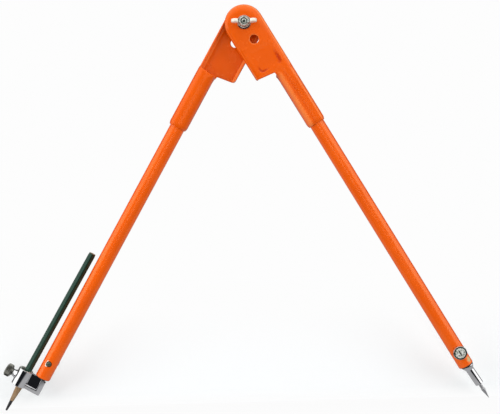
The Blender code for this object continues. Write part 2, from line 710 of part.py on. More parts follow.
def clamp_screw_and_pad(leg):
    """Thumbscrew of the clamp and the loose pad on its tip, which bears on the pencil."""
    hub = add_empty("pencil_clamp_axis", leg, (0, 0, -RING_MIDDLE_DROP))
    pad_face = PENCIL_OFFSET + PENCIL_CORNER_RADIUS + FIT_GAP
    pad_back = pad_face + CLAMP_PAD_THICKNESS
    pad = CLAMP_PAD_DIAMETER / 2
    profile = ((pad_face, 0), (pad_face, pad), (pad_back, pad), (pad_back, 0))
    add_object("pencil_clamp_pad", turned(profile, ROUND_SIDES, "X"), hub, "bright_zinc", ZINC)
    shank, collar, knob = CLAMP_SCREW_DIAMETER / 2, CLAMP_COLLAR_DIAMETER / 2, CLAMP_KNOB_DIAMETER / 2
    tip = pad_back + FIT_GAP
    collar_start = RING_OFFSET + RING_RADIUS + CLAMP_BOSS_LENGTH + FIT_GAP
    knob_start = collar_start + CLAMP_COLLAR_LENGTH
    knob_end = knob_start + CLAMP_KNOB_THICKNESS
    edge = 2 * KNURL_DEPTH
    profile = (
        (tip, 0),
        (tip, shank - KNURL_DEPTH),
        (tip + KNURL_DEPTH, shank),
        (collar_start, shank),
        (collar_start, collar),
        (knob_start, collar),
        (knob_start, knob - edge),
        (knob_start + edge, knob),
        (knob_end - edge, knob),
        (knob_end, knob - edge),
        (knob_end, 0),
    )
    work = knurled(profile, KNURL_TEETH * 2, "X", (0, 0, 0))
    add_object("pencil_clamp_screw", work, hub, "knurled_steel", KNURLED_STEEL)


def hexagon(radius, drop):
    """One section of the pencil, turned a little about its axis."""
    ring = []
    for index in range(6):
        angle = PENCIL_TURN + math.pi / 3 * index
        ring.append((radius * math.cos(angle), radius * math.sin(angle), drop))
    return ring


def pencil(leg):
    """Hexagonal pencil sharpened to a cone, with its lead showing at the tip and at the top."""
    axis = add_empty("pencil_axis", leg, (PENCIL_OFFSET, 0, -RING_MIDDLE_DROP), (0, -PENCIL_LEAN, 0))
    tip = RING_MIDDLE_DROP - PENCIL_TIP_DROP
    top = tip + PENCIL_LENGTH
    wood_end = tip + LEAD_EXPOSED
    lead = LEAD_DIAMETER / 2
    work = loft((hexagon(PENCIL_CORNER_RADIUS, wood_end), hexagon(PENCIL_CORNER_RADIUS, top)))
    body = add_object("pencil_body", work, axis, "pencil_paint", PENCIL_GREEN)
    slope = (PENCIL_CORNER_RADIUS - lead - WOOD_EDGE) / WOOD_CONE
    far = PENCIL_CORNER_RADIUS + OVERRUN
    blunt = wood_end + WOOD_CONE + OVERRUN / slope
    profile = (
        (wood_end - OVERRUN, lead + WOOD_EDGE - slope * OVERRUN),
        (blunt, far),
        (blunt, far + OVERRUN),
        (wood_end - OVERRUN, far + OVERRUN),
    )
    sharpener = ring_turned(profile, FINE_SIDES, "Z")
    cut(body, add_object("pencil_sharpened_cone", sharpener, axis))
    bore = lead + LEAD_GAP
    profile = ((wood_end - OVERRUN, bore), (top + OVERRUN, bore))
    cut(body, add_object("pencil_lead_bore", turned(profile, ROUND_SIDES, "Z"), axis))
    profile = (
        (tip, 0),
        (tip, LEAD_TIP_RADIUS / 2),
        (tip + LEAD_TIP_RADIUS / 2, LEAD_TIP_RADIUS),
        (tip + LEAD_TAPER, lead),
        (top - FIT_GAP, lead),
        (top - FIT_GAP, 0),
    )
    add_object("pencil_lead", turned(profile, ROUND_SIDES, "Z"), axis, "graphite", GRAPHITE)
    return axis


def pivot_bolt(parent):
    """Cup-head bolt: its square neck sits in the rear cheek and its thread carries the wing nut."""
    rear = HEAD_HALF_DEPTH + FIT_GAP
    end = -(NUT_BASE + NUT_HUB_HEIGHT - BOLT_END_RECESS)
    head = BOLT_HEAD_DIAMETER / 2
    edge = KNURL_DEPTH
    profile = [(end, 0), (end, BOLT_RADIUS - edge), (end + edge, BOLT_RADIUS), (rear, BOLT_RADIUS)]
    for step in range(DOME_STEPS):
        angle = math.pi / 2 * step / DOME_STEPS
        profile.append((rear + BOLT_HEAD_HEIGHT * math.sin(angle), head * math.cos(angle)))
    profile.append((rear + BOLT_HEAD_HEIGHT, 0))
    made = add_object("pivot_bolt", turned(profile, ROUND_SIDES), parent, "bright_zinc", ZINC)
    half = BOLT_NECK_WIDTH / 2
    neck = box((-half, CHEEK_INSIDE, -half), (half, rear + SEAM_STEP, half))
    join(made, add_object("pivot_bolt_neck", neck, parent))
    return made


def washer(name, parent, start, thickness, diameter, bore, finish_name, finish):
    edge = thickness / 8
    low, high = start, start + thickness
    outer = diameter / 2
    profile = (
        (low, bore), (low, outer - edge), (low + edge, outer),
        (high - edge, outer), (high, outer - edge), (high, bore),
    )
    return add_object(name, ring_turned(profile, ROUND_SIDES), parent, finish_name, finish)


def pivot_stack(parent):
    """Bush and friction washers between the cheeks."""
    bore = BOLT_RADIUS + SLIDE_GAP
    length = 2 * BUSH_HALF_LENGTH
    washer("pivot_bush", parent, -length / 2, length, BUSH_DIAMETER, bore, "bright_zinc", ZINC)
    thickness = FRICTION_WASHER_THICKNESS
    for name, start in (("needle_leg_friction_washer", -BUSH_HALF_LENGTH - FIT_GAP - thickness),
                        ("pencil_leg_friction_washer", BUSH_HALF_LENGTH + FIT_GAP)):
        washer(name, parent, start, thickness, FRICTION_WASHER_DIAMETER, bore, "fibre", FIBRE)


def clamp_washers(parent):
    """Plain washer on the front cheek and the split washer in front of it."""
    bore = BOLT_RADIUS + SLIDE_GAP
    start = -HEAD_HALF_DEPTH - FIT_GAP - WASHER_THICKNESS
    washer("pivot_washer", parent, start, WASHER_THICKNESS, WASHER_DIAMETER, bore, "bright_zinc", ZINC)
    thickness, diameter = SPRING_WASHER_THICKNESS, SPRING_WASHER_DIAMETER
    start -= FIT_GAP + thickness
    made = washer("pivot_spring_washer", parent, start, thickness, diameter, bore, "bright_zinc", ZINC)
    half = SPRING_WASHER_SPLIT / 2
    split = box((-half, start - OVERRUN, -diameter), (half, start + thickness + OVERRUN, 0))
    bmesh.ops.transform(split, matrix=Matrix.Rotation(math.radians(20), 4, "Y"), verts=split.verts)
    cut(made, add_object("pivot_spring_washer_split", split, parent))


def wing_outline(side):
    """One wing, seen from above: it leaves the hub low and ends in a round lobe."""
    lobe = NUT_LOBE_RADIUS
    reach = NUT_WING_SPAN / 2
    inside = NUT_HUB_DIAMETER / 4
    low, high = [-NUT_BASE - NUT_HUB_HEIGHT * share for share in NUT_WING_ROOT_SHARES]
    centre_x, centre_y = reach - lobe, low - NUT_WING_RISE + lobe
    points = [(inside, low), (NUT_HUB_DIAMETER / 2, low)]
    for step in range(LOBE_STEPS + 1):
        angle = math.radians(-50 + 190 * step / LOBE_STEPS)
        points.append((centre_x + lobe * math.cos(angle), centre_y - lobe * math.sin(angle)))
    points.append((NUT_NOSE_DIAMETER / 2, high))
    points.append((inside, high))
    return [(side * x, y) for x, y in points]


def wing_nut(parent):
    base, top = -NUT_BASE, -NUT_BASE - NUT_HUB_HEIGHT
    hub, nose = NUT_HUB_DIAMETER / 2, NUT_NOSE_DIAMETER / 2
    edge = KNURL_DEPTH
    profile = (
        (top, 0), (top, nose - edge), (top + edge, nose),
        (base - edge, hub), (base, hub - edge), (base, 0),
    )
    made = add_object("pivot_wing_nut", turned(profile, ROUND_SIDES), parent, "bright_zinc", ZINC)
    half = NUT_WING_THICKNESS / 2
    for side, name in ((-1, "left"), (1, "right")):
        work = bmesh.new()
        outline = wing_outline(side)
        low = [work.verts.new((x, y, -half)) for x, y in outline]
        high = [work.verts.new((x, y, half)) for x, y in outline]
        bridge_rows(work, low, high, len(outline))
        work.faces.new(low)
        work.faces.new(high)
        round_edges(work, half / 2, 2, lambda a, b: a.z == b.z)
        join(made, add_object("pivot_wing_" + name, work, parent))
    bore = BOLT_RADIUS + FIT_GAP
    hole = turned(((top - OVERRUN, bore), (base + OVERRUN, bore)), ROUND_SIDES)
    cut(made, add_object("pivot_wing_nut_bore", hole, parent))
    return made


def standing_angles():
    """Each leg's angle from the vertical when both points stand on the floor, and the pivot's height."""
    lean = NEEDLE_TIP_DROP - FOOT_SCREW_DROP
    needle = Vector((TUBE_OFFSET + lean * math.sin(NEEDLE_HOLDER_LEAN),
                     FOOT_SCREW_DROP + lean * math.cos(NEEDLE_HOLDER_LEAN)))
    drop = PENCIL_TIP_DROP - RING_MIDDLE_DROP
    point = Vector((PENCIL_OFFSET + drop * math.sin(PENCIL_LEAN),
                    RING_MIDDLE_DROP + drop * math.cos(PENCIL_LEAN)))
    needle_phase = math.atan2(needle.x, needle.y)
    pencil_phase = math.atan2(point.x, point.y)
    spread = LEG_OPENING + needle_phase + pencil_phase
    span = math.sqrt(needle.length ** 2 + point.length ** 2
                     - 2 * needle.length * point.length * math.cos(spread))
    height = needle.length * point.length * math.sin(spread) / span
    needle_angle = math.acos(height / needle.length) - needle_phase
    return needle_angle, LEG_OPENING - needle_angle, height


def centre_on_floor(root):
    """Shift the whole compass so that the origin is under the middle of its box, on the floor."""
    bpy.context.view_layer.update()
    shown = bpy.context.evaluated_depsgraph_get()
    low, high = Vector((math.inf,) * 3), Vector((-math.inf,) * 3)
    for item in bpy.context.scene.objects:
        if item.type != "MESH" or item.hide_render:
            continue
        solid = item.evaluated_get(shown)
        for vert in solid.data.vertices:
            place = solid.matrix_world @ vert.co
            low = Vector(map(min, low, place))
            high = Vector(map(max, high, place))
    root.location -= Vector(((low.x + high.x) / 2, (low.y + high.y) / 2, low.z))
    bpy.context.view_layer.update()


def main():
    clear_scene()
    needle_angle, pencil_angle, height = standing_angles()
    root = add_empty("compass", None, (0, 0, height))
    needle_leg = add_empty("needle_leg", root, (0, 0, 0), (0, -needle_angle, 0))
    pencil_leg = add_empty("pencil_leg", root, (0, 0, 0), (0, -pencil_angle, math.pi))
    bracket("needle_leg_bracket", needle_leg, False)
    bracket("pencil_leg_bracket", pencil_leg, True)
    tube("needle_leg_tube", needle_leg)
    tube("pencil_leg_tube", pencil_leg)
    foot_screw("needle_holder_screw", needle_leg)
    foot_screw("pencil_holder_screw", pencil_leg)
    needle_foot(needle_leg)
    pencil_holder(pencil_leg)
    clamp_ring(pencil_leg)
    clamp_boss(pencil_leg)
    clamp_screw_and_pad(pencil_leg)
    pencil(pencil_leg)
    bolt_axis = add_empty("pivot_bolt_axis", root, (0, 0, 0), (0, pencil_angle, 0))
    pivot_bolt(bolt_axis)
    pivot_axis = add_empty("pivot_axis", root)
    pivot_stack(pivot_axis)
    clamp_washers(pivot_axis)
    wing_nut(pivot_axis)
    centre_on_floor(root)


main()
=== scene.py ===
# Carpenters compass: finishes, finer surfaces, floor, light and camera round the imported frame.
# Shapes are written in millimetres, in each leg's own frame: the pivot is the origin, the leg runs
# down -Z, +X points away from the other leg, and -Y is the side of its cheek and thumbscrew.
# Each leg's matrix turns them into metres in the frame of the whole compass.

import json
import math

import bmesh
import bpy
from mathutils import Matrix, Vector


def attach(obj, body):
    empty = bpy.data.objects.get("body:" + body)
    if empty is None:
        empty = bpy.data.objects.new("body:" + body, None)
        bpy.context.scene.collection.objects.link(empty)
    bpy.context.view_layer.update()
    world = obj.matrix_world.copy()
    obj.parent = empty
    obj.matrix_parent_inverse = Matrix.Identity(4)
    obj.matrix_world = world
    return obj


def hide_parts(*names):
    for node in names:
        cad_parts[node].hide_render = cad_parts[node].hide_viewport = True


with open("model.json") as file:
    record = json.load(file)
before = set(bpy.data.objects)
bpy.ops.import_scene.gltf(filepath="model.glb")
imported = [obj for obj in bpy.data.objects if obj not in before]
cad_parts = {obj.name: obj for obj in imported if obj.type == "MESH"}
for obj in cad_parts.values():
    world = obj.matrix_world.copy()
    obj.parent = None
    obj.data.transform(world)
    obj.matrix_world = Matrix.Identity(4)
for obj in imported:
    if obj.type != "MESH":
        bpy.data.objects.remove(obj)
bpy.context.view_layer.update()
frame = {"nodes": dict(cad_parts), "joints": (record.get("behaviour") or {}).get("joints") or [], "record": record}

MM = 0.001
FIT_GAP = 0.3
FACE_GAP = 0.05
OVERRUN = 2.0
SHORTEST_FILLET = 0.01
FILLET_SHARE = 0.45
NEARLY_STRAIGHT = math.radians(172)

# Leg tubes
TUBE_OFFSET = 9.9
TUBE_RADIUS = 7.5
TUBE_WALL = 1.6
TUBE_TOP_DROP = 62.0
TUBE_RING_DROPS = (130.0, 240.0, 350.0)
TUBE_RING_STEP = 1.5
TUBE_END = 403.8
TUBE_LIP = 1.0
TUBE_LIP_STEPS = 6
# Painted shade: the tube's lowest edge is dark steel over this length.
LIP_SHADE_LENGTH = 0.7
TUBE_BORE_EDGE = (0.1, 0.3)
CUT_REACH = 9.0
TUBE_HOLE_RADIUS = 2.9
TUBE_HOLE_MOUTH = 3.5
TUBE_HOLE_FLARE = (7.6, 6.7)
# Painted highlight: a crescent of pale zinc on one side of each thumbscrew's hole.
GLINT_RADIUS = 3.6
GLINT_SIDE = 0.5
GLINT_DEPTH = 7.25
GLINT_SLOPE_SHARE = 0.1
GLINT_BACK = 1.0 + TUBE_WALL - TUBE_RADIUS
# Painted highlight: a pale tan spot near the lower end of the needle leg's tube, beside its thumbscrew.
HIGHLIGHT_SPOT = (14.6, -6.0, -398.6)
HIGHLIGHT_SPOT_FRAY = 0.004
HIGHLIGHT_SPOT_EDGE = (0.0035, 0.0052)

# Pressed brackets
VOXEL = 0.4
SMOOTHING = 16
HALF_DEPTH = 9.6
HEAD_RADIUS = 19.35
SOCKET_WIDTH = 18.9
SOCKET_START = 57.8
SOCKET_INNER = TUBE_OFFSET - SOCKET_WIDTH / 2
SOCKET_OUTER = TUBE_OFFSET + SOCKET_WIDTH / 2
FLANGE_INNER = 15.5
FLANGE_SKIN = 0.9
FLANGE_PAINTED_LIGHT = -0.65
CHEEK_SKIN = 1.8
CORNER_DROP = 55.4
CORNER_ROUND = 3.4
MOUTH_FILL = 1.2
MOUTH_DROP = 59.3
MOUTH_HEIGHT = 1.5
MOUTH_REACH = 3.6
MOUTH_LEFT = -1.0
MOUTH_START = SOCKET_START - 0.2
BEAD_START = 6.0
BEAD_FADE = 14.0
BEAD_GAP = 4.0
BEAD_INSET = 3.2
BEAD_WIDTH = 2.2
BEAD_RISE = 0.4
BEAD_FRONT = 5.5
BEAD_BLEND = 1.6
HANG_HOLE_DROP = 19.1
HANG_HOLE_RADIUS = 4.4
HOLE_HIGHLIGHT_WIDTH = 0.6
HANG_HOLE_SKIN = 1.0

# Lapped seam of the sockets, with painted shade in its groove and painted highlights along its lap and its outer
# ridge. A shade below nothing is a painted highlight.
SEAM_FADE = 6.0
SEAM_FRONT = 4.0
LAP_REACH = 4.2
LAP_WIDTH = 1.9
LAP_RISE = 0.5
LAP_HIGHLIGHT_REACH = 3.0
LAP_HIGHLIGHT_WIDTH = 2.3
LAP_PAINTED_HIGHLIGHT = -0.75
GROOVE_REACH = 8.0
GROOVE_WIDTH = 1.1
GROOVE_DEPTH = 0.3
GROOVE_PAINTED_SHADE = 0.3
RIDGE_REACH = 16.2
RIDGE_WIDTH = 1.7
RIDGE_PAINTED_HIGHLIGHT = -0.45

# Sunk panel of the brackets and its creases, which also carry painted shade
PANEL_SIDE = 11.0
PANEL_MIDDLE = 40.0
PANEL_HALF_HEIGHT = 11.0
PANEL_CORNER = 3.0
PANEL_DEPTH = 0.25
PANEL_SKIN = 0.8
PANEL_SLOPE = 2.5
CREASE_WIDTH = 1.1
CREASE_DEPTH = 0.35
CREASE_GAIN = 1.3
LOW_CREASE_INSET = 2.0
LOW_CREASE_RISE = 1.0
LOW_CREASE_SPREAD = 22.0
SIDE_CREASE_WIDTH = 2.31
SIDE_CREASE_REACH = 3.0
SIDE_CREASE_DROP = 47.0
SIDE_CREASE_HEIGHT = 8.0
CREASE_WOBBLE_SHARE = 0.2
CREASE_WAVES = (2.1, 1.3)

# Thumbscrews of the two holders
SCREW_RISE = 16.4
SCREW_RADIUS = 2.5
SCREW_TIP_SHARES = ((6.9, 0.0), (6.8, 0.4), (6.5, 0.75), (6.0, 1.0))
SCREW_HEAD_RADIUS = 6.8
SCREW_HEAD_DEPTH = 4.4
SCREW_SEAT_EDGE = (0.9, 0.5)
SCREW_FACE_EDGE = (0.4, 0.6)
SCREW_FILLET = 0.25
SCREW_DISH_RADIUS = 5.0
SCREW_DISH_DEPTH = 0.5
SCREW_CROWN = 0.2
SCREW_CROWN_ANGLES = (0.3, 0.6, 0.9, 1.2)
SCREW_SLOT_WIDTH = 1.3
SCREW_SLOT_LENGTH = 6.4
SCREW_SLOT_DEPTH = 1.3
SCREW_TEETH = 44
KNURL_DEPTH = 0.35

# Needle holder and needle
HOLDER_LEAN = math.radians(2.4)
SPIGOT_RADIUS = 4.8
SPIGOT_LENGTH = 24.0
SHOULDER_GAP = 0.56
SHOULDER_RADIUS = 6.1
SHOULDER_HEIGHT = 1.2
SHOULDER_TAPER = 3.4
NOSE_RADIUS = 4.1
NOSE_REACH = 22.6
HOLDER_FILLET = 0.5
NEEDLE_RADIUS = 1.5
NEEDLE_COLLAR_RADIUS = 1.85
NEEDLE_COLLAR_LENGTH = 2.2
NEEDLE_CONE = 9.6
NEEDLE_REACH = 39.8
NEEDLE_SEAT = 12.0
NEEDLE_BLUNT = (0.1, 0.12)
NEEDLE_FILLET = 0.15

# Pencil
PENCIL_SPACING = 16.2
PENCIL_LEAN = math.radians(0.6)
PENCIL_TURN = math.radians(10.0)
PENCIL_FLAT = 3.45
PENCIL_CORNER = PENCIL_FLAT / math.cos(math.pi / 6)
PENCIL_CORNER_CAP = 3.9
PENCIL_LENGTH = 177.8
PENCIL_REACH = 45.8
PENCIL_END_CHAMFER = 0.3
FACET_ANGLES = (0.0, 6.0, 14.0, 20.0, 24.0, 26.5, 28.2, 29.3, 30.7, 31.8, 33.5, 36.0, 40.0, 46.0, 54.0)
LACQUER_SHARES = (0.02, 0.1, 0.4, 0.7, 0.98)
LEAD_RADIUS = 1.6
LEAD_GAP = 0.15
LEAD_EXPOSED = 11.3
LEAD_TAPER = 8.5
LEAD_TIP_RADIUS = 1.0
LEAD_TIP_SHARE = 0.5
LEAD_SUNK = 0.3
LEAD_FILLET = 0.4
WOOD_CONE = 22.5
WOOD_EDGE = 0.3
WOOD_STEPS = 8
GRAIN_LEAN = math.radians(-30.4)

# Pencil holder
SPIGOT_PROUD = 0.6
WEB_THICKNESS = 2.4
WEB_INSET = 1.5
WEB_BEVEL = 0.2
RIM_WIDTH = 4.6
RIM_DEPTH = 6.8
RIM_EDGE_DEPTH = 2.4
RIM_BELOW_TUBE = 1.3
RIM_ROUNDINGS = (1.7, 1.2, 0.4)

# Clamp
RING_RADIUS = 7.3
RING_WALL = 1.2
RING_WELD_SHARE = 0.8
RING_LIP = 1.1
RING_EDGE = 0.35
RING_EDGE_STEPS = 3
RING_HEIGHT = 17.2
RING_BELOW_TUBE = 0.5
RING_OFFSET = 27.83
RING_CORNER_WIDTH = 4.2
RING_CORNER_DROP = 3.6
RING_CUT_REACH = 12.0
RING_CUT_BEVEL = 0.01
BOSS_SEAT_GAP = 0.02
BOSS_RADIUS = 4.3
BOSS_FOOT_RADIUS = 4.8
BOSS_FLARE = ((0.1, 4.4), (0.9, 3.8), (1.8, 3.55))
BOSS_NOSE_RADIUS = 3.3
BOSS_CHAMFER = 0.4
BOSS_LENGTH = 3.4
CLAMP_THREAD = 2.0
CLAMP_HOLE_GAP = 0.4
CLAMP_TIP_CHAMFER = 0.3
CLAMP_PAD = 1.1
CLAMP_FILLET = 0.35
COLLAR_RADIUS = 3.7
COLLAR_LENGTH = 1.2
KNOB_RADIUS = 6.35
KNOB_THICKNESS = 5.8
KNOB_EDGE = 0.9
KNOB_INSETS = (1.0, 1.1)
KNOB_KNURL = 0.45
KNOB_DISH_INSETS = (2.2, 2.6)
KNOB_DISH_DEPTH = 0.3
KNOB_TEETH = 40

# Pivot
BOLT_RADIUS = 3.0
BOLT_HEAD_RADIUS = 7.0
BOLT_HEAD_HEIGHT = 3.6
BOLT_HEAD_STEPS = 12
BOLT_HEAD_EDGE = 0.3
BOLT_END_DROP = 0.6
BOLT_CHAMFER = 0.6
BOLT_DIMPLE = 1.3
BOLT_DIMPLE_DEPTH = 0.7
BOLT_DIMPLE_SLOPE = 0.5
THREAD_RUNOUT = 2.0
THREAD_LEAD = 1.0
THREAD_PITCH = 1.0
THREAD_CREST_SHARES = (0.2, 0.6)
THREAD_DEPTH = 0.35
NUT_VOXEL = 0.22
NUT_SMOOTHING = 4
NUT_HUB_HEIGHT = 4.8
NUT_HUB_RADIUS = 5.5
NUT_RING = (-0.6, 0.2)
WASHER = (6.9, 1.0)
SPRING_WASHER = (5.5, 1.0)
WASHER_GAP = 0.4
WASHER_EDGE = 0.25
WASHER_EDGE_SHARE = 0.3
SPLIT_HALF_WIDTH = 0.4
SPLIT_REACH = 9.0
SPLIT_LEAN = math.radians(20)
SPLIT_BEVEL = 0.05

# Camera, as fitted to the photograph, in metres, degrees and pixels
CAMERA_FROM_PIVOT = (0.001195, -0.8, -0.181362)
CAMERA_ROLL = -1.478
CAMERA_FOCAL_PIXELS = 804.9
IMAGE_WIDTH_PIXELS = 500
SENSOR_WIDTH = 36.0

# Stage, in metres
WHITE = (0.982, 0.982, 0.982)
FLOOR_RADIUS = 6.0
FLOOR_LIGHT = 0.55
FLOOR_FADE = (0.30, 0.75)
FLOOR_WHITE_SHARES = (0.92, 1.0)
TABLE_EDGE = (-0.075, -0.045)
BOARD_BEHIND = 0.012
BOARD_SLOPE = math.radians(63.0)
BOARD_RISE = 0.13
BOARD_SIDE = 0.5
BOARD_SIDE_SHARES = (0.6, 0.9)
BOARD_FADE = 0.09
BOARD_WHITE = (0.45, 0.45, 0.45)

# Light round the stage. The room and the shade are written as parts of a direction.
WORLD_LIGHT = 0.49
WORLD_SHADE = (-0.8, 0.6)
ROOM_LIGHT = 1.35
ROOM_SIDE = (0.60, 0.68)
ROOM_HEIGHT = (0.30, 0.45)
ROOM_FRONT = (0.14, 0.30)
# Softboxes: name, place and height aimed at in metres, size, and power in watts
SOFTBOXES = (
    ("softbox_left", (-1.35, -0.85, 0.45), 0.2, (1.0, 1.0), 11.2),
    ("softbox_right", (1.2, -0.9, 0.7), 0.2, (1.0, 1.0), 8.4),
    ("softbox_top", (0.0, -0.2, 1.5), 0.1, (1.2, 0.9), 8.0),
    ("front_fill", (0.0, -1.3, 0.25), 0.2, (0.5, 0.5), 3.2),
    ("side_left", (-1.6, -0.15, 0.35), 0.2, (0.8, 0.8), 3.5),
    ("back_fill", (0.0, 1.4, 0.6), 0.2, (0.8, 0.8), 6.0),
)

JOINTS = {joint["name"]: joint for joint in frame["joints"]}
BODY_OF = {node: body for body, nodes in frame["record"]["behaviour"]["bodies"].items() for node in nodes}
PIVOT = Vector(JOINTS["leg_spread"]["pos_m"])
SCREW_DROP = TUBE_END - SCREW_RISE
RING_TOP = TUBE_END + RING_BELOW_TUBE
RING_BOTTOM = RING_TOP + RING_HEIGHT
RING_MIDDLE = (RING_TOP + RING_BOTTOM) / 2


def leg_matrix(screw_joint, turned_round):
    """The leg's frame, worked out from where its thumbscrew turns."""
    arm = Vector(JOINTS[screw_joint]["pos_m"]) - PIVOT
    lean = math.atan2(abs(arm.x), -arm.z) - math.atan2(TUBE_OFFSET, SCREW_DROP)
    half_turn = Matrix.Rotation(math.pi if turned_round else 0.0, 4, "Z")
    return Matrix.Translation(PIVOT) @ half_turn @ Matrix.Rotation(-lean, 4, "Y") @ Matrix.Scale(MM, 4)


NEEDLE_LEG = leg_matrix("needle_screw_turn", False)
PENCIL_LEG = leg_matrix("pencil_screw_turn", True)
PIVOT_FRAME = Matrix.Translation(PIVOT) @ Matrix.Scale(MM, 4)


def along(matrix, place, direction):
    """A frame at a place whose own Z runs along a direction of the given frame."""
    turn = Vector((0, 0, 1)).rotation_difference(Vector(direction)).to_matrix().to_4x4()
    return matrix @ Matrix.Translation(place) @ turn


def screw_axis(matrix):
    """The frame of a leg's thumbscrew, whose Z points to its head."""
    return along(matrix, (TUBE_OFFSET, 0, -SCREW_DROP), (0, -1, 0))


def held(value):
    """A value held between nothing and one."""
    return min(max(value, 0.0), 1.0)


def bell(offset, width):
    """A rise that is one at no offset and fades away over the width."""
    return math.exp(-(offset / width) ** 2)


# Mesh helpers
def filleted(profile, radius, steps=3):
    """Round the corners of a profile of (position, radius, knurl) rows."""
    rows = [(*row, 0.0)[:3] for row in profile]
    made = [rows[0]]
    for before, corner, after in zip(rows, rows[1:], rows[2:]):
        middle = Vector(corner[:2])
        first, second = Vector(before[:2]) - middle, Vector(after[:2]) - middle
        reach = min(radius, first.length * FILLET_SHARE, second.length * FILLET_SHARE)
        if reach < SHORTEST_FILLET or first.angle(second, math.pi) > NEARLY_STRAIGHT:
            made.append(corner)
            continue
        start, end = middle + first.normalized() * reach, middle + second.normalized() * reach
        for step in range(steps + 1):
            share = step / steps
            point = start * (1 - share) ** 2 + middle * 2 * share * (1 - share) + end * share ** 2
            made.append((point.x, point.y, corner[2]))
    made.append(rows[-1])
    return made


def revolved(profile, sides, teeth=0, closed=False):
    """Turn a profile about Z. A closed profile is a ring; else its ends lie on the axis or are capped."""
    work = bmesh.new()
    rings = []
    for position, radius, knurl in [(*row, 0.0)[:3] for row in profile]:
        ring = []
        for index in range(sides if radius > 1e-6 else 1):
            angle = 2 * math.pi * index / sides
            reach = radius - knurl * (0.5 - 0.5 * math.cos(teeth * angle)) ** 0.7
            ring.append(work.verts.new((reach * math.cos(angle), reach * math.sin(angle), position)))
        rings.append(ring)
    for first, second in zip(rings, rings[1:] + (rings[:1] if closed else [])):
        for index in range(sides):
            after = (index + 1) % sides
            if len(first) == 1 and len(second) == 1:
                continue
            if len(first) == 1:
                work.faces.new((first[0], second[after], second[index]))
            elif len(second) == 1:
                work.faces.new((first[index], first[after], second[0]))
            else:
                work.faces.new((first[index], first[after], second[after], second[index]))
    if not closed:
        for ring in (rings[0], rings[-1]):
            if len(ring) > 1:
                work.faces.new(ring)
    return work


def joined_loops(work, loops, closed=False):
    """Faces between loops of points that follow each other."""
    faces = []
    for first, second in zip(loops, loops[1:] + (loops[:1] if closed else [])):
        for index in range(len(first)):
            after = (index + 1) % len(first)
            faces.append(work.faces.new((first[index], first[after], second[after], second[index])))
    return faces


def block(low, high, bevel, segments=3):
    """A box with every edge rounded."""
    work = bmesh.new()
    bmesh.ops.create_cube(work, size=1.0)
    for vert in work.verts:
        for axis in range(3):
            vert.co[axis] = low[axis] if vert.co[axis] < 0 else high[axis]
    bmesh.ops.bevel(work, geom=work.edges[:], offset=bevel, segments=segments, profile=0.5, affect="EDGES")
    return work


def prism(outline, half_depth, bevel):
    """An outline of (x, z) points with depth along Y and bevelled ends."""
    work = bmesh.new()
    ends = [[work.verts.new((x, y, z)) for x, z in outline] for y in (-half_depth, half_depth)]
    joined_loops(work, ends)
    for end in ends:
        work.faces.new(end)
    edges = [edge for edge in work.edges if edge.verts[0].co.y == edge.verts[1].co.y]
    bmesh.ops.bevel(work, geom=edges, offset=bevel, segments=1, profile=0.5, affect="EDGES")
    return work


def linked(name, data):
    """A new object of the scene."""
    made = bpy.data.objects.new(name, data)
    bpy.context.scene.collection.objects.link(made)
    return made


def new_object(name, work, matrix=Matrix()):
    """A mesh object from a bmesh, which is used up."""
    work.transform(matrix)
    bmesh.ops.recalc_face_normals(work, faces=work.faces)
    mesh = bpy.data.meshes.new(name)
    work.to_mesh(mesh)
    work.free()
    return linked(name, mesh)


def apply_modifiers(made):
    """Bake an object's modifiers into its mesh."""
    bpy.context.view_layer.update()
    seen = made.evaluated_get(bpy.context.evaluated_depsgraph_get())
    mesh = bpy.data.meshes.new_from_object(seen)
    made.modifiers.clear()
    made.data = mesh


def cut(made, work, matrix):
    """Cut a tool from an object for good."""
    tool = new_object("tool", work, matrix)
    step = made.modifiers.new("cut", "BOOLEAN")
    step.operation = "DIFFERENCE"
    step.solver = "EXACT"
    step.object = tool
    apply_modifiers(made)
    bpy.data.objects.remove(tool, do_unlink=True)


def drill_spigot(made, axis):
    """The clearance hole for a holder's thumbscrew."""
    bore = SCREW_RADIUS + FIT_GAP
    hole = [(-CUT_REACH, 0), (-CUT_REACH, bore), (CUT_REACH, bore), (CUT_REACH, 0)]
    cut(made, revolved(hole, 48), axis)


def dress(made, node, materials, sharp=34.0, flat=True):
    """Give a piece its finish and shading, and let it stand for its CAD node."""
    if made.data.materials:
        made.data.materials.clear()
    for finish in materials:
        made.data.materials.append(finish)
    made.data.shade_smooth()
    if flat:
        made.data.set_sharp_from_angle(angle=math.radians(sharp))
        weighted = made.modifiers.new("weighted", "WEIGHTED_NORMAL")
        weighted.keep_sharp = True
    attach(made, BODY_OF[node])
    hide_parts(node)
    return made


# Materials
def add(tree, kind, *sources, **values):
    """A shader node with its sources linked in order, and its properties or named inputs set."""
    node = tree.nodes.new(f"ShaderNode{kind}")
    for key, value in values.items():
        if hasattr(node, key):
            setattr(node, key, value)
        else:
            node.inputs[key.replace("_", " ").title()].default_value = value
    for source, socket in zip(sources, node.inputs):
        tree.links.new(source, socket)
    return node


def shader_nodes(name, colour, roughness, metallic=0.0):
    """A new material with its tree, its shader and the place on the object."""
    made = bpy.data.materials.new(name)
    made.use_nodes = True
    tree = made.node_tree
    shader = tree.nodes["Principled BSDF"]
    shader.inputs["Base Color"].default_value = (*colour, 1.0)
    shader.inputs["Roughness"].default_value = roughness
    shader.inputs["Metallic"].default_value = metallic
    return made, tree, shader, add(tree, "TexCoord").outputs["Object"]


def noise(tree, source, scale, detail, roughness=0.5, stretch=None):
    """Noise over a place, which can be stretched first."""
    if stretch:
        mapping = add(tree, "Mapping", source)
        mapping.inputs["Scale"].default_value = stretch
        source = mapping.outputs["Vector"]
    node = add(tree, "TexNoise", source, scale=scale, detail=detail, roughness=roughness)
    return node.outputs["Fac"]


def spread(tree, value, low, high, start=0.3, end=0.7):
    """Map a value between start and end onto a range."""
    return add(tree, "MapRange", value, from_min=start, from_max=end,
               to_min=low, to_max=high).outputs["Result"]


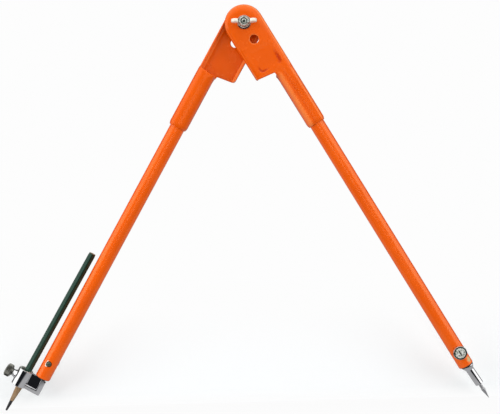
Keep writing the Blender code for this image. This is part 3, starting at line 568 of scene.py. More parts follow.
def blend_colours(tree, value, *stops):
    """Colour ramp from a value."""
    node = add(tree, "ValToRGB", value)
    ramp = node.color_ramp
    while len(ramp.elements) < len(stops):
        ramp.elements.new(0.5)
    for element, (place, colour) in zip(ramp.elements, stops):
        element.position = place
        element.color = (*colour, 1.0)
    return node.outputs["Color"]


def tinted(tree, colour, tint, factor):
    """A colour that turns to a plain tint where the factor is high."""
    node = add(tree, "Mix", data_type="RGBA")
    node.inputs["B"].default_value = (*tint, 1.0)
    tree.links.new(factor, node.inputs["Factor"])
    tree.links.new(colour, node.inputs["A"])
    return node.outputs["Result"]


def finished(tree, shader, colour=None, roughness=None, height=None, depth=0.0, strength=1.0):
    """Link what varies over the surface: colour, roughness and a bump of a depth in metres."""
    if colour is not None:
        tree.links.new(colour, shader.inputs["Base Color"])
    if roughness is not None:
        tree.links.new(roughness, shader.inputs["Roughness"])
    if height is not None:
        node = add(tree, "Bump", strength=strength, distance=depth)
        tree.links.new(height, node.inputs["Height"])
        tree.links.new(node.outputs["Normal"], shader.inputs["Normal"])


def reflective(shader, level, tint=(1.0, 1.0, 1.0)):
    """How strongly and in what tint a coat reflects."""
    shader.inputs["Specular IOR Level"].default_value = level
    shader.inputs["Specular Tint"].default_value = (*tint, 1.0)


def powder_coat(name, gloss, tone, highlight_place=None, with_painted_light=False):
    """Gloss orange powder coat: faint orange-peel surface, slow changes of shade, a pale tan spot that is a
    painted highlight, and painted shade and highlights read from the mesh.
    """
    made, tree, shader, place = shader_nodes(name, (0.80, 0.09, 0.0), 0.3)
    colour = blend_colours(tree, noise(tree, place, 30.0, 4.0), (0.30, (0.74 * tone, 0.086 * tone, 0.0)),
                           (0.70, (0.80 * tone, 0.100 * tone, 0.0)))
    # A pale tan spot round the given place is a painted highlight, with a ragged edge.
    if highlight_place:
        away = add(tree, "VectorMath", place, operation="DISTANCE")
        away.inputs[1].default_value = highlight_place
        ragged = add(tree, "Math", noise(tree, place, 420.0, 4.0), operation="MULTIPLY_ADD")
        ragged.inputs[1].default_value = HIGHLIGHT_SPOT_FRAY
        tree.links.new(away.outputs["Value"], ragged.inputs[2])
        colour = tinted(tree, colour, (0.50, 0.42, 0.18),
                        spread(tree, ragged.outputs["Value"], 0.85, 0.0, *HIGHLIGHT_SPOT_EDGE))
    if with_painted_light:
        # Painted light read from the mesh: the dark red tint is painted shade in the grooves and creases, the
        # light orange tint is painted highlight on the seam, ridge, hang hole's rim and flanges' inner faces.
        shade = add(tree, "Attribute", attribute_name="crease_and_painted_light").outputs["Fac"]
        colour = tinted(tree, colour, (0.46, 0.022, 0.0), spread(tree, shade, 0.0, 0.9, 0.1, 0.9))
        colour = tinted(tree, colour, (0.98, 0.26, 0.06), spread(tree, shade, 0.9, 0.0, -0.9, -0.1))
    finished(tree, shader, colour, spread(tree, noise(tree, place, 90.0, 2.0), 0.22, 0.30),
             noise(tree, place, 180.0, 1.0), 0.00004, 0.05)
    reflective(shader, gloss, (1.0, 0.95, 0.5))
    return made


def plated(name, colour, roughness, spread_by, streaks=None, bump=0.0, metallic=1.0):
    """Bare or plated metal with smudges in its gloss."""
    made, tree, shader, place = shader_nodes(name, colour, roughness, metallic)
    darker = tuple(part * 0.86 for part in colour)
    finished(tree, shader, blend_colours(tree, noise(tree, place, 70.0, 3.0), (0.35, darker), (0.62, colour)),
             spread(tree, noise(tree, place, 130.0, 4.0, 0.6, streaks), roughness, roughness + spread_by))
    if bump:
        finished(tree, shader, height=noise(tree, place, 900.0, 3.0, 0.6, streaks), depth=bump, strength=0.5)
    return made


def blasted_zinc():
    """Rough blotched zinc of faces that are never machined."""
    made, tree, shader, place = shader_nodes("blasted_zinc", (0.6, 0.6, 0.56), 0.4, 0.35)
    blotches = noise(tree, place, 620.0, 3.0, 0.6)
    colour = blend_colours(tree, blotches, (0.36, (0.16, 0.19, 0.16)), (0.50, (0.55, 0.58, 0.52)),
                           (0.62, (0.92, 0.94, 0.88)))
    finished(tree, shader, colour, height=blotches, depth=0.0001, strength=0.5)
    return made


def pencil_lacquer():
    """Dark green lacquer over the grain of the wood."""
    made, tree, shader, place = shader_nodes("green_lacquer", (0.010, 0.034, 0.022), 0.2)
    ripple = noise(tree, place, 220.0, 3.0)
    colour = blend_colours(tree, ripple, (0.3, (0.006, 0.022, 0.014)), (0.7, (0.010, 0.033, 0.022)))
    gloss = spread(tree, noise(tree, place, 90.0, 4.0), 0.18, 0.34)
    finished(tree, shader, colour, gloss, ripple, 0.00005, 0.4)
    reflective(shader, 0.6, (0.7, 1.0, 0.85))
    return made


def bare_wood():
    """Sharpened cedar: fine grain that runs down the pencil, rough from the blade."""
    made, tree, shader, place = shader_nodes("sharpened_cedar", (0.40, 0.22, 0.09), 0.7)
    turn = add(tree, "Mapping", place)
    turn.inputs["Rotation"].default_value = (0.0, GRAIN_LEAN, 0.0)
    grain = noise(tree, turn.outputs["Vector"], 1.0, 5.0, 0.62, (1500.0, 1500.0, 130.0))
    colour = blend_colours(tree, grain, (0.30, (0.17, 0.095, 0.045)), (0.50, (0.29, 0.18, 0.095)),
                           (0.72, (0.42, 0.29, 0.17)))
    finished(tree, shader, colour, height=grain, depth=0.00012, strength=0.6)
    return made


def graphite():
    """Pencil lead with the marks of its sharpening."""
    made, tree, shader, place = shader_nodes("graphite", (0.030, 0.029, 0.031), 0.42, 0.25)
    marks = noise(tree, place, 700.0, 4.0)
    finished(tree, shader, None, spread(tree, marks, 0.32, 0.55), marks, 0.00006, 0.5)
    return made


def fibre():
    """Pressed black fibre of the friction washers."""
    made, tree, shader, place = shader_nodes("black_fibre", (0.03, 0.027, 0.024), 0.75)
    grain = noise(tree, place, 900.0, 4.0)
    colour = blend_colours(tree, grain, (0.3, (0.02, 0.018, 0.016)), (0.7, (0.05, 0.045, 0.04)))
    finished(tree, shader, colour, height=grain, depth=0.00008, strength=0.6)
    return made


# The tubes' coat is a lighter copy of the brackets' coat: painted light.
ORANGE = powder_coat("orange_powder_coat", 0.9, 1.10)
PRESSED_ORANGE = powder_coat("pressed_orange_powder_coat", 0.55, 1.0, with_painted_light=True)
ORANGE_WITH_PAINTED_SPOT = powder_coat("orange_powder_coat_with_painted_spot", 0.9, 1.08, NEEDLE_LEG @ Vector(HIGHLIGHT_SPOT))
CHROME = plated("bright_chrome", (0.86, 0.86, 0.87), 0.045, 0.05)
ZINC = plated("bright_zinc", (0.78, 0.78, 0.74), 0.18, 0.16, bump=0.00004)
SATIN_ZINC_AND_PAINTED_GLINT = plated("satin_zinc_and_painted_glint", (0.98, 0.91, 0.79), 0.36, 0.10, metallic=0.1)
SCREW_END = plated("dull_screw_end", (0.15, 0.17, 0.12), 0.25, 0.16, metallic=0.6)
DARK_STEEL_AND_PAINTED_SHADE = plated("oiled_steel_and_painted_shade", (0.10, 0.13, 0.10), 0.38, 0.2, bump=0.00004)
NEEDLE_STEEL = plated("ground_steel", (0.52, 0.52, 0.53), 0.24, 0.14, (1.0, 1.0, 6.0), 0.00003)
KNURLED = plated("knurled_steel", (0.27, 0.27, 0.24), 0.30, 0.20, bump=0.00008)
CAST_FACE = blasted_zinc()
LACQUER = pencil_lacquer()
WOOD = bare_wood()
GRAPHITE = graphite()
FIBRE = fibre()


# Pressed brackets and the cast nut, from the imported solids
def bead(place):
    """How far the inner bead and the outer ridge stand out of the sheet."""
    drop = -place.z
    sleeve = held((drop - SOCKET_START - BEAD_GAP) / BEAD_FADE)
    inner = bell(place.x + HEAD_RADIUS - BEAD_INSET, BEAD_WIDTH)
    if drop > SOCKET_START:
        inner = sleeve * bell(place.x - SOCKET_INNER - BEAD_INSET, BEAD_WIDTH)
    outer = bell(place.x - SOCKET_OUTER + BEAD_INSET, BEAD_WIDTH)
    return BEAD_RISE * (1 + sleeve) * (inner + outer) * held((drop - BEAD_START) / BEAD_FADE)


def seam(place):
    """Rise of the socket's lapped seam with its painted shade and highlights, and the painted light on the
    flanges' inner faces.
    """
    reach, drop = place.x - SOCKET_INNER, -place.z
    side = math.hypot(place.x, max(place.z, 0.0))
    inside = FLANGE_INNER < side < HEAD_RADIUS - FLANGE_SKIN and abs(place.y) < HALF_DEPTH - CHEEK_SKIN
    # The flanges' inner faces lie in shade and are painted lighter: painted light.
    if inside and drop < SOCKET_START:
        return 0.0, FLANGE_PAINTED_LIGHT
    run = held((drop - SOCKET_START) / SEAM_FADE) * held(-place.y / SEAM_FRONT)
    groove = bell(reach - GROOVE_REACH, GROOVE_WIDTH)
    rise = LAP_RISE * bell(reach - LAP_REACH, LAP_WIDTH) - GROOVE_DEPTH * groove
    shade = (GROOVE_PAINTED_SHADE * groove + LAP_PAINTED_HIGHLIGHT * bell(reach - LAP_HIGHLIGHT_REACH, LAP_HIGHLIGHT_WIDTH)
             + RIDGE_PAINTED_HIGHLIGHT * bell(reach - RIDGE_REACH, RIDGE_WIDTH))
    return run * rise, run * shade


def panel_edge(place):
    """Distance from the edge of the sunk panel, less than nothing inside it."""
    across = abs(place.x) - PANEL_SIDE + PANEL_CORNER
    down = abs(-place.z - PANEL_MIDDLE) - PANEL_HALF_HEIGHT + PANEL_CORNER
    return math.hypot(max(across, 0.0), max(down, 0.0)) + min(max(across, down), 0.0) - PANEL_CORNER


def crease_and_painted_light(place):
    """Depth of the creases at the panel's lower inner corner and along its outer side; the same value darkens the
    paint there as painted shade.
    """
    edge, drop = panel_edge(place), -place.z
    aside = place.x + PANEL_SIDE - LOW_CREASE_INSET
    above = drop - PANEL_MIDDLE - PANEL_HALF_HEIGHT + LOW_CREASE_RISE
    low = bell(edge, CREASE_WIDTH) * math.exp(-(aside ** 2 + above ** 2) / LOW_CREASE_SPREAD)
    wave = math.sin(CREASE_WAVES[0] * drop) * math.cos(CREASE_WAVES[1] * place.x)
    outer = (bell(edge, SIDE_CREASE_WIDTH) * bell(place.x - PANEL_SIDE, SIDE_CREASE_REACH)
             * bell(drop - SIDE_CREASE_DROP, SIDE_CREASE_HEIGHT))
    outer *= 1 - CREASE_WOBBLE_SHARE + CREASE_WOBBLE_SHARE * wave
    return min(CREASE_GAIN * (low + outer), 1.0)


def fill_mouth(place):
    """Fill the corner between the cheek's lower edge and the mouth of its socket."""
    if place.x > MOUTH_LEFT and -place.z > MOUTH_START:
        near = held((MOUTH_REACH - max(place.x - SOCKET_INNER, 0.0)) / MOUTH_REACH)
        place.x -= MOUTH_FILL * near * bell(place.z + MOUTH_DROP, MOUTH_HEIGHT)


def round_corner(place):
    """Round the cheek's lower corner."""
    side, down = place.x + HEAD_RADIUS - CORNER_ROUND, -place.z - CORNER_DROP + CORNER_ROUND
    if side < 0 < down and math.hypot(side, down) > CORNER_ROUND:
        pull = CORNER_ROUND / math.hypot(side, down) - 1
        place.x += side * pull
        place.z -= down * pull


def pressed(place):
    """Move a point of the sheet as the press forms it, and give the painted shade or highlight of its paint there.
    """
    rise, shade = seam(place)
    place.y -= rise
    fill_mouth(place)
    round_corner(place)
    proud = -BEAD_FRONT - place.y
    if proud < 0:
        return shade
    place.y -= bead(place) * min(proud / BEAD_BLEND, 1.0)
    behind, edge = place.y + HALF_DEPTH, panel_edge(place)
    # Painted highlight: the paint is lightened in a ring round the hang hole's rim.
    if behind < HANG_HOLE_SKIN:
        from_hole = math.hypot(place.x, place.z + HANG_HOLE_DROP) - HANG_HOLE_RADIUS
        shade -= bell(from_hole, HOLE_HIGHLIGHT_WIDTH)
    if behind < PANEL_SKIN and edge < PANEL_SLOPE:
        # Inside the panel's edge the creases give both the sheet's depth and the painted shade.
        shade = crease_and_painted_light(place)
        level = held(0.5 - edge / (2 * PANEL_SLOPE))
        place.y = -HALF_DEPTH + PANEL_DEPTH * level * level * (3 - 2 * level) + CREASE_DEPTH * shade
    return shade


def softened(node, name, matrix, voxel, smoothing):
    """A close copy of a CAD node in its own frame, with rounded edges."""
    mesh = frame["nodes"][node].data.copy()
    mesh.transform(matrix.inverted())
    made = linked(name, mesh)
    remesh = made.modifiers.new("remesh", "REMESH")
    remesh.mode = "VOXEL"
    remesh.voxel_size = voxel
    smooth = made.modifiers.new("smooth", "SMOOTH")
    smooth.factor = 0.5
    smooth.iterations = smoothing
    apply_modifiers(made)
    return made


def bracket(node, name, matrix):
    """A pressed bracket, with the painted shade and highlights of its paint kept at each point."""
    made = softened(node, name, matrix, VOXEL, SMOOTHING)
    shades = made.data.attributes.new("crease_and_painted_light", "FLOAT", "POINT")
    for vert, row in zip(made.data.vertices, shades.data):
        row.value = pressed(vert.co)
    made.data.transform(matrix)
    dress(made, node, [PRESSED_ORANGE], flat=False)


def wing_nut():
    """Cast nut: pale wings, a blasted hub and a dark steel ring of painted shade round the hub's edge."""
    made = softened("pivot_wing_nut", "pivot_nut_casting", PIVOT_FRAME, NUT_VOXEL, NUT_SMOOTHING)
    made.data.transform(PIVOT_FRAME)
    dress(made, "pivot_wing_nut", [SATIN_ZINC_AND_PAINTED_GLINT, CAST_FACE, DARK_STEEL_AND_PAINTED_SHADE], flat=False)
    for face in made.data.polygons:
        out = math.hypot(face.center.x - PIVOT.x, face.center.z - PIVOT.z) / MM - NUT_HUB_RADIUS
        face.material_index = 0 if out > NUT_RING[1] else 2 if out > NUT_RING[0] else 1


bracket("needle_leg_bracket", "needle_leg_pressing", NEEDLE_LEG)
bracket("pencil_leg_bracket", "pencil_leg_pressing", PENCIL_LEG)
wing_nut()


# Leg tubes
def leg_tube(node, name, matrix, finish):
    """Drawn tube with a rolled lower lip; its rings are closer round the thumbscrew's hole."""
    inner = TUBE_RADIUS - TUBE_WALL
    drops = [TUBE_TOP_DROP, *TUBE_RING_DROPS]
    drops += [SCREW_DROP + step * TUBE_RING_STEP for step in range(-4, 5)]
    rows = [(-drop, TUBE_RADIUS) for drop in drops]
    for step in range(TUBE_LIP_STEPS + 1):
        angle = math.pi / 2 * step / TUBE_LIP_STEPS
        rows.append((-TUBE_END + TUBE_LIP * (1 - math.sin(angle)),
                     TUBE_RADIUS - TUBE_LIP * (1 - math.cos(angle))))
    rows += [(-TUBE_END, inner + TUBE_BORE_EDGE[0]), (-TUBE_END + TUBE_BORE_EDGE[1], inner)]
    rows += [(-drop, inner) for drop in reversed(drops)]
    tube = new_object(name, revolved(rows, 96, closed=True), matrix @ Matrix.Translation((TUBE_OFFSET, 0, 0)))
    hole = [(-CUT_REACH, 0), (-CUT_REACH, TUBE_HOLE_MOUTH), (-TUBE_HOLE_FLARE[0], TUBE_HOLE_MOUTH),
            (-TUBE_HOLE_FLARE[1], TUBE_HOLE_RADIUS), (CUT_REACH, TUBE_HOLE_RADIUS), (CUT_REACH, 0)]
    axis = screw_axis(matrix)
    cut(tube, revolved(hole, 48), axis)
    for face in tube.data.polygons:
        middle, out = axis.inverted() @ face.center, face.center - axis.translation
        from_axis = middle.xy.length
        # A crescent of pale zinc on one side of the screw's hole is a painted highlight.
        in_ring = from_axis < GLINT_RADIUS and out.x < GLINT_SIDE * MM and out.z > out.x
        glint_face = in_ring and -GLINT_DEPTH - from_axis * GLINT_SLOPE_SHARE < middle.z < GLINT_BACK
        # The tube's lowest edge is dark steel: painted shade.
        on_lip = -(matrix.inverted() @ face.center).z > TUBE_END - LIP_SHADE_LENGTH
        face.material_index = 2 if on_lip else 1 if glint_face else 0
    dress(tube, node, [finish, SATIN_ZINC_AND_PAINTED_GLINT, DARK_STEEL_AND_PAINTED_SHADE])


leg_tube("needle_leg_tube", "needle_leg_drawn_tube", NEEDLE_LEG, ORANGE_WITH_PAINTED_SPOT)
leg_tube("pencil_leg_tube", "pencil_leg_drawn_tube", PENCIL_LEG, ORANGE)


# Thumbscrews through the tubes
def holder_screw(node, name, matrix):
    """Knurled head with a dished, slotted face, and a domed end that shows in the far hole."""
    seat = TUBE_RADIUS + FIT_GAP
    front = seat + SCREW_HEAD_DEPTH
    dish = front - SCREW_DISH_DEPTH
    head = SCREW_HEAD_RADIUS
    profile = filleted([
        *[(-back, SCREW_RADIUS * share) for back, share in SCREW_TIP_SHARES],
        (seat, SCREW_RADIUS), (seat, head - SCREW_SEAT_EDGE[0]),
        (seat + SCREW_SEAT_EDGE[1], head, KNURL_DEPTH), (front - SCREW_FACE_EDGE[1], head, KNURL_DEPTH),
        (front, head - SCREW_FACE_EDGE[0]), (dish, SCREW_DISH_RADIUS),
        *[(dish + SCREW_CROWN * math.sin(angle), SCREW_DISH_RADIUS * math.cos(angle))
          for angle in SCREW_CROWN_ANGLES],
        (dish + SCREW_CROWN, 0),
    ], SCREW_FILLET)
    axis = screw_axis(matrix)
    made = new_object(name, revolved(profile, SCREW_TEETH * 6, SCREW_TEETH), axis)
    half, length = SCREW_SLOT_WIDTH / 2, SCREW_SLOT_LENGTH / 2
    cut(made, block((-half, -length, dish - SCREW_SLOT_DEPTH), (half, length, front + OVERRUN),
                    SCREW_FILLET, 2), axis)
    tip_end = SCREW_TIP_SHARES[-1][0] - 2 * FACE_GAP
    for face in made.data.polygons:
        middle = axis.inverted() @ face.center
        above = middle.z > dish - FACE_GAP
        on_dish = above and middle.xy.length < SCREW_DISH_RADIUS + 2 * FACE_GAP
        # The dish's sloping wall is dark steel: a ring of painted shade.
        on_wall = above and middle.xy.length < head - SCREW_FACE_EDGE[0] - 2 * FACE_GAP
        face.material_index = 1 if on_dish else 3 if on_wall else 2 if middle.z < -tip_end else 0
    dress(made, node, [ZINC, CAST_FACE, SCREW_END, DARK_STEEL_AND_PAINTED_SHADE])


holder_screw("needle_holder_screw", "needle_thumbscrew", NEEDLE_LEG)
holder_screw("pencil_holder_screw", "pencil_thumbscrew", PENCIL_LEG)


# Needle holder and needle
NEEDLE_FOOT = (NEEDLE_LEG @ Matrix.Translation((TUBE_OFFSET, 0, -SCREW_DROP))
               @ Matrix.Rotation(-HOLDER_LEAN, 4, "Y") @ Matrix.Rotation(math.pi, 4, "X"))
NOSE_END = SCREW_RISE + NOSE_REACH


def needle_holder():
    """Spigot, shoulder, cone and nose in one turning, with the needle's bore."""
    seat = SCREW_RISE + SHOULDER_GAP
    bore = NEEDLE_RADIUS + FIT_GAP
    depth = NOSE_END - NEEDLE_SEAT - FIT_GAP
    profile = filleted([
        (seat - SPIGOT_LENGTH, 0), (seat - SPIGOT_LENGTH, SPIGOT_RADIUS), (seat, SPIGOT_RADIUS),
        (seat, SHOULDER_RADIUS), (seat + SHOULDER_HEIGHT, SHOULDER_RADIUS),
        (seat + SHOULDER_HEIGHT + SHOULDER_TAPER, NOSE_RADIUS), (NOSE_END, NOSE_RADIUS),
        (NOSE_END, bore), (depth, bore), (depth, 0),
    ], HOLDER_FILLET, 4)
    made = new_object("needle_holder_turning", revolved(profile, 72), NEEDLE_FOOT)
    drill_spigot(made, along(NEEDLE_FOOT, (0, 0, 0), (0, -1, 0)))
    # The spigot and the shoulder's face under the tube are dark steel, so the gap there shows dark: painted shade.
    for face in made.data.polygons:
        in_tube = (NEEDLE_FOOT.inverted() @ face.center).z < seat + FIT_GAP
        face.material_index = 1 if in_tube else 0
    dress(made, "needle_holder", [CHROME, DARK_STEEL_AND_PAINTED_SHADE])


def needle():
    """Steel point with a collar below its shank."""
    tip = SCREW_RISE + NEEDLE_REACH
    cone, seat = tip - NEEDLE_CONE, NOSE_END - NEEDLE_SEAT
    collar = cone - NEEDLE_COLLAR_LENGTH
    profile = filleted([
        (seat, 0), (seat, NEEDLE_RADIUS), (collar, NEEDLE_RADIUS),
        (collar + NEEDLE_COLLAR_RADIUS - NEEDLE_RADIUS, NEEDLE_COLLAR_RADIUS), (cone, NEEDLE_COLLAR_RADIUS),
        (tip - NEEDLE_BLUNT[0], NEEDLE_BLUNT[1]), (tip, 0),
    ], NEEDLE_FILLET)
    dress(new_object("needle_point", revolved(profile, 48), NEEDLE_FOOT), "needle", [NEEDLE_STEEL])


needle_holder()
needle()


# Pencil holder
def swept_rim(left, right, bottom, top):
    """L-shaped raised rim, mitred at the corner, with faces that slope down to the outside."""
    work = bmesh.new()
    stations = []
    for station, rounding in enumerate(RIM_ROUNDINGS):
        section = [(0, 0), (0, RIM_EDGE_DEPTH), (RIM_WIDTH, RIM_DEPTH / 2), (RIM_WIDTH, 0)]
        loop = [row[:2] for row in filleted(section, rounding, 4)]
        loop += [(reach, -depth) for reach, depth in reversed(loop[1:-1])]
        rows = []
        for reach, depth in loop:
            x = right if station == 0 else left + reach
            z = bottom + reach if station < 2 else top - RIM_WIDTH / 2 + min(reach, RIM_WIDTH / 2)
            rows.append(work.verts.new((x, depth, z)))
        stations.append(rows)
    joined_loops(work, stations)
    work.faces.new(stations[0])
    work.faces.new(stations[-1])
    return work


def pencil_holder():
    """Spigot, web and raised rim that carry the clamp."""
    end, start = -TUBE_END - SPIGOT_PROUD, -TUBE_END + SPIGOT_LENGTH
    spigot = filleted([(end, 0), (end, SPIGOT_RADIUS), (start, SPIGOT_RADIUS), (start, 0)], HOLDER_FILLET)
    place = PENCIL_LEG @ Matrix.Translation((TUBE_OFFSET, 0, 0))
    made = new_object("pencil_holder_spigot", revolved(spigot, 64), place)
    drill_spigot(made, screw_axis(PENCIL_LEG))
    # The spigot is dark steel so that the gap below the tube shows dark: painted shade.
    dress(made, "pencil_holder", [DARK_STEEL_AND_PAINTED_SHADE])
    left, right = TUBE_OFFSET - SPIGOT_RADIUS, RING_OFFSET - RING_RADIUS + RING_WALL * RING_WELD_SHARE
    web = block((left + WEB_INSET, -WEB_THICKNESS / 2, WEB_INSET - RING_BOTTOM),
                (right, WEB_THICKNESS / 2, -RING_TOP - RING_BELOW_TUBE), WEB_BEVEL)
    dress(new_object("pencil_holder_web", web, PENCIL_LEG), "pencil_holder", [CHROME])
    rim = swept_rim(left, right, -RING_BOTTOM, -TUBE_END - RIM_BELOW_TUBE)
    dress(new_object("pencil_holder_rim", rim, PENCIL_LEG), "pencil_holder", [CHROME])


pencil_holder()


# Clamp
RING_FRAME = PENCIL_LEG @ Matrix.Translation((RING_OFFSET, 0, 0))
CLAMP_AXIS = along(PENCIL_LEG, (RING_OFFSET, 0, -RING_MIDDLE), (1, 0, 0))


def clamp_ring():
    """Rolled ring with turned-in lips, a corner cut off on the screw's side and the screw's hole."""
    inner = RING_RADIUS - RING_WALL
    lip = inner - RING_LIP
    low, high = -RING_BOTTOM, -RING_TOP
    rows = []
    for x, z in ((lip, low), (RING_RADIUS, low), (RING_RADIUS, high), (lip, high)):
        side_x, side_z = (1 if x > inner else -1), (1 if z > -RING_MIDDLE else -1)
        for step in range(RING_EDGE_STEPS + 1):
            angle = math.pi / 2 * step / RING_EDGE_STEPS
            if side_x * side_z < 0:
                angle = math.pi / 2 - angle
            rows.append((z - side_z * RING_EDGE * (1 - math.sin(angle)),
                         x - side_x * RING_EDGE * (1 - math.cos(angle))))
    rows += [(high - RING_WALL, lip), (high - RING_WALL - RING_LIP, inner),
             (low + RING_WALL + RING_LIP, inner), (low + RING_WALL, lip)]
    ring = new_object("pencil_clamp_band", revolved(rows, 96, closed=True), RING_FRAME)
    far = RING_OFFSET + RING_RADIUS
    extra = OVERRUN * RING_CORNER_DROP / RING_CORNER_WIDTH
    corner = ((far - RING_CORNER_WIDTH - OVERRUN, high + extra), (far + OVERRUN, high + extra),
              (far + OVERRUN, high - RING_CORNER_DROP - extra))
    cut(ring, prism(corner, RING_CUT_REACH, RING_CUT_BEVEL), PENCIL_LEG)
    bore = CLAMP_THREAD + CLAMP_HOLE_GAP
    cut(ring, revolved([(0, 0), (0, bore), (RING_CUT_REACH, bore), (RING_CUT_REACH, 0)], 32), CLAMP_AXIS)
    down = (PENCIL_LEG.to_3x3() @ Vector((0, 0, -1))).normalized()
    for face in ring.data.polygons:
        out = face.center - RING_FRAME.translation
        out -= down * out.dot(down)
        inside = out.length < (inner + 2 * FACE_GAP) * MM and face.normal.dot(out) < 0
        face.material_index = 1 if inside else 0
    dress(ring, "pencil_clamp_ring", [CHROME, CAST_FACE])


def clamp_boss():
    """Threaded boss, flared where it joins the ring."""
    seat = math.sqrt(RING_RADIUS ** 2 - BOSS_RADIUS ** 2)
    bore, end = CLAMP_THREAD + FIT_GAP, RING_RADIUS + BOSS_LENGTH
    rows = [(seat, bore), (seat, BOSS_FOOT_RADIUS),
            *[(RING_RADIUS + rise, radius) for rise, radius in BOSS_FLARE],
            (end - BOSS_CHAMFER, BOSS_NOSE_RADIUS), (end, BOSS_NOSE_RADIUS - BOSS_CHAMFER), (end, bore)]
    boss = new_object("pencil_clamp_boss_turning", revolved(rows, 64, closed=True), CLAMP_AXIS)
    low, high, clear = -RING_BOTTOM - OVERRUN / 2, -RING_TOP + OVERRUN / 2, RING_RADIUS + BOSS_SEAT_GAP
    cut(boss, revolved([(low, 0), (low, clear), (high, clear), (high, 0)], 96), RING_FRAME)
    dress(boss, "pencil_clamp_boss", [CHROME])


def clamp_screw():
    """Knurled knob, collar and the screw that bears on the pad."""
    tip = TUBE_OFFSET + PENCIL_SPACING + PENCIL_CORNER + 2 * FIT_GAP + CLAMP_PAD - RING_OFFSET
    start, thread = RING_RADIUS + BOSS_LENGTH + FIT_GAP, CLAMP_THREAD
    knob = start + COLLAR_LENGTH
    last = knob + KNOB_THICKNESS
    dish = last - KNOB_DISH_DEPTH
    profile = filleted([
        (tip, 0), (tip, thread - CLAMP_TIP_CHAMFER), (tip + CLAMP_TIP_CHAMFER, thread), (start, thread),
        (start, COLLAR_RADIUS), (knob, COLLAR_RADIUS),
        (knob, KNOB_RADIUS - KNOB_INSETS[0]), (knob + KNOB_EDGE, KNOB_RADIUS, KNOB_KNURL),
        (last - KNOB_EDGE, KNOB_RADIUS, KNOB_KNURL), (last, KNOB_RADIUS - KNOB_INSETS[1]),
        (last, KNOB_RADIUS - KNOB_DISH_INSETS[0]), (dish, KNOB_RADIUS - KNOB_DISH_INSETS[1]), (dish, 0),
    ], CLAMP_FILLET)
    knob = new_object("pencil_clamp_knob", revolved(profile, KNOB_TEETH * 6, KNOB_TEETH), CLAMP_AXIS)
    dress(knob, "pencil_clamp_screw", [KNURLED])


clamp_ring()
clamp_boss()
clamp_screw()


# Pencil
PENCIL_AXIS = (PENCIL_LEG @ Matrix.Translation((TUBE_OFFSET + PENCIL_SPACING, 0, -RING_MIDDLE))
               @ Matrix.Rotation(-PENCIL_LEAN, 4, "Y"))
PENCIL_TIP = RING_MIDDLE - TUBE_END - PENCIL_REACH
PENCIL_TOP = PENCIL_TIP + PENCIL_LENGTH


def side_distance(angle):
    """Distance from the pencil's axis to its lacquered side, with the corners a little rounded."""
    from_flat = (angle - PENCIL_TURN) % (math.pi / 3) - math.pi / 6
    return min(PENCIL_FLAT / math.cos(from_flat), PENCIL_CORNER_CAP)


def pencil_body():
    """Hexagonal body with a scalloped edge where the blade met the lacquer."""
    wood_end = PENCIL_TIP + LEAD_EXPOSED
    edge = LEAD_RADIUS + WOOD_EDGE
    slope = (PENCIL_CORNER - edge) / WOOD_CONE
    bore = LEAD_RADIUS + LEAD_GAP
    work = bmesh.new()
    columns = []
    for angle in [math.radians(60 * flat + step) for flat in range(6) for step in FACET_ANGLES]:
        angle += PENCIL_TURN - math.pi / 6
        side = side_distance(angle + math.pi / 6)
        meet = wood_end + (side - edge) / slope
        rows = [(wood_end, bore)]
        rows += [(wood_end + (meet - wood_end) * step / WOOD_STEPS, edge + (side - edge) * step / WOOD_STEPS)
                 for step in range(WOOD_STEPS + 1)]
        rows += [(meet + (PENCIL_TOP - meet) * share, side) for share in LACQUER_SHARES]
        rows += [(PENCIL_TOP, side - PENCIL_END_CHAMFER), (PENCIL_TOP, bore)]
        columns.append([work.verts.new((radius * math.cos(angle), radius * math.sin(angle), z))
                        for z, radius in rows])
    first_lacquer = WOOD_STEPS + 1
    last_lacquer = first_lacquer + len(LACQUER_SHARES)
    for index, face in enumerate(joined_loops(work, columns, closed=True)):
        row = index % len(columns[0])
        face.material_index = 0 if first_lacquer <= row <= last_lacquer else 1
    dress(new_object("pencil_cedar_body", work, PENCIL_AXIS), "pencil_body", [LACQUER, WOOD], 50.0)


def pencil_lead():
    """Graphite core and its point."""
    blunt, end = LEAD_TIP_RADIUS * LEAD_TIP_SHARE, PENCIL_TOP - LEAD_SUNK
    profile = filleted([
        (PENCIL_TIP, 0), (PENCIL_TIP, blunt), (PENCIL_TIP + blunt, LEAD_TIP_RADIUS),
        (PENCIL_TIP + LEAD_TAPER, LEAD_RADIUS), (end, LEAD_RADIUS), (end, 0),
    ], LEAD_FILLET)
    dress(new_object("pencil_graphite_core", revolved(profile, 48), PENCIL_AXIS), "pencil_lead", [GRAPHITE])


pencil_body()
pencil_lead()


# Bolt and washers
PIVOT_FRONT = along(PIVOT_FRAME, (0, 0, 0), (0, -1, 0))


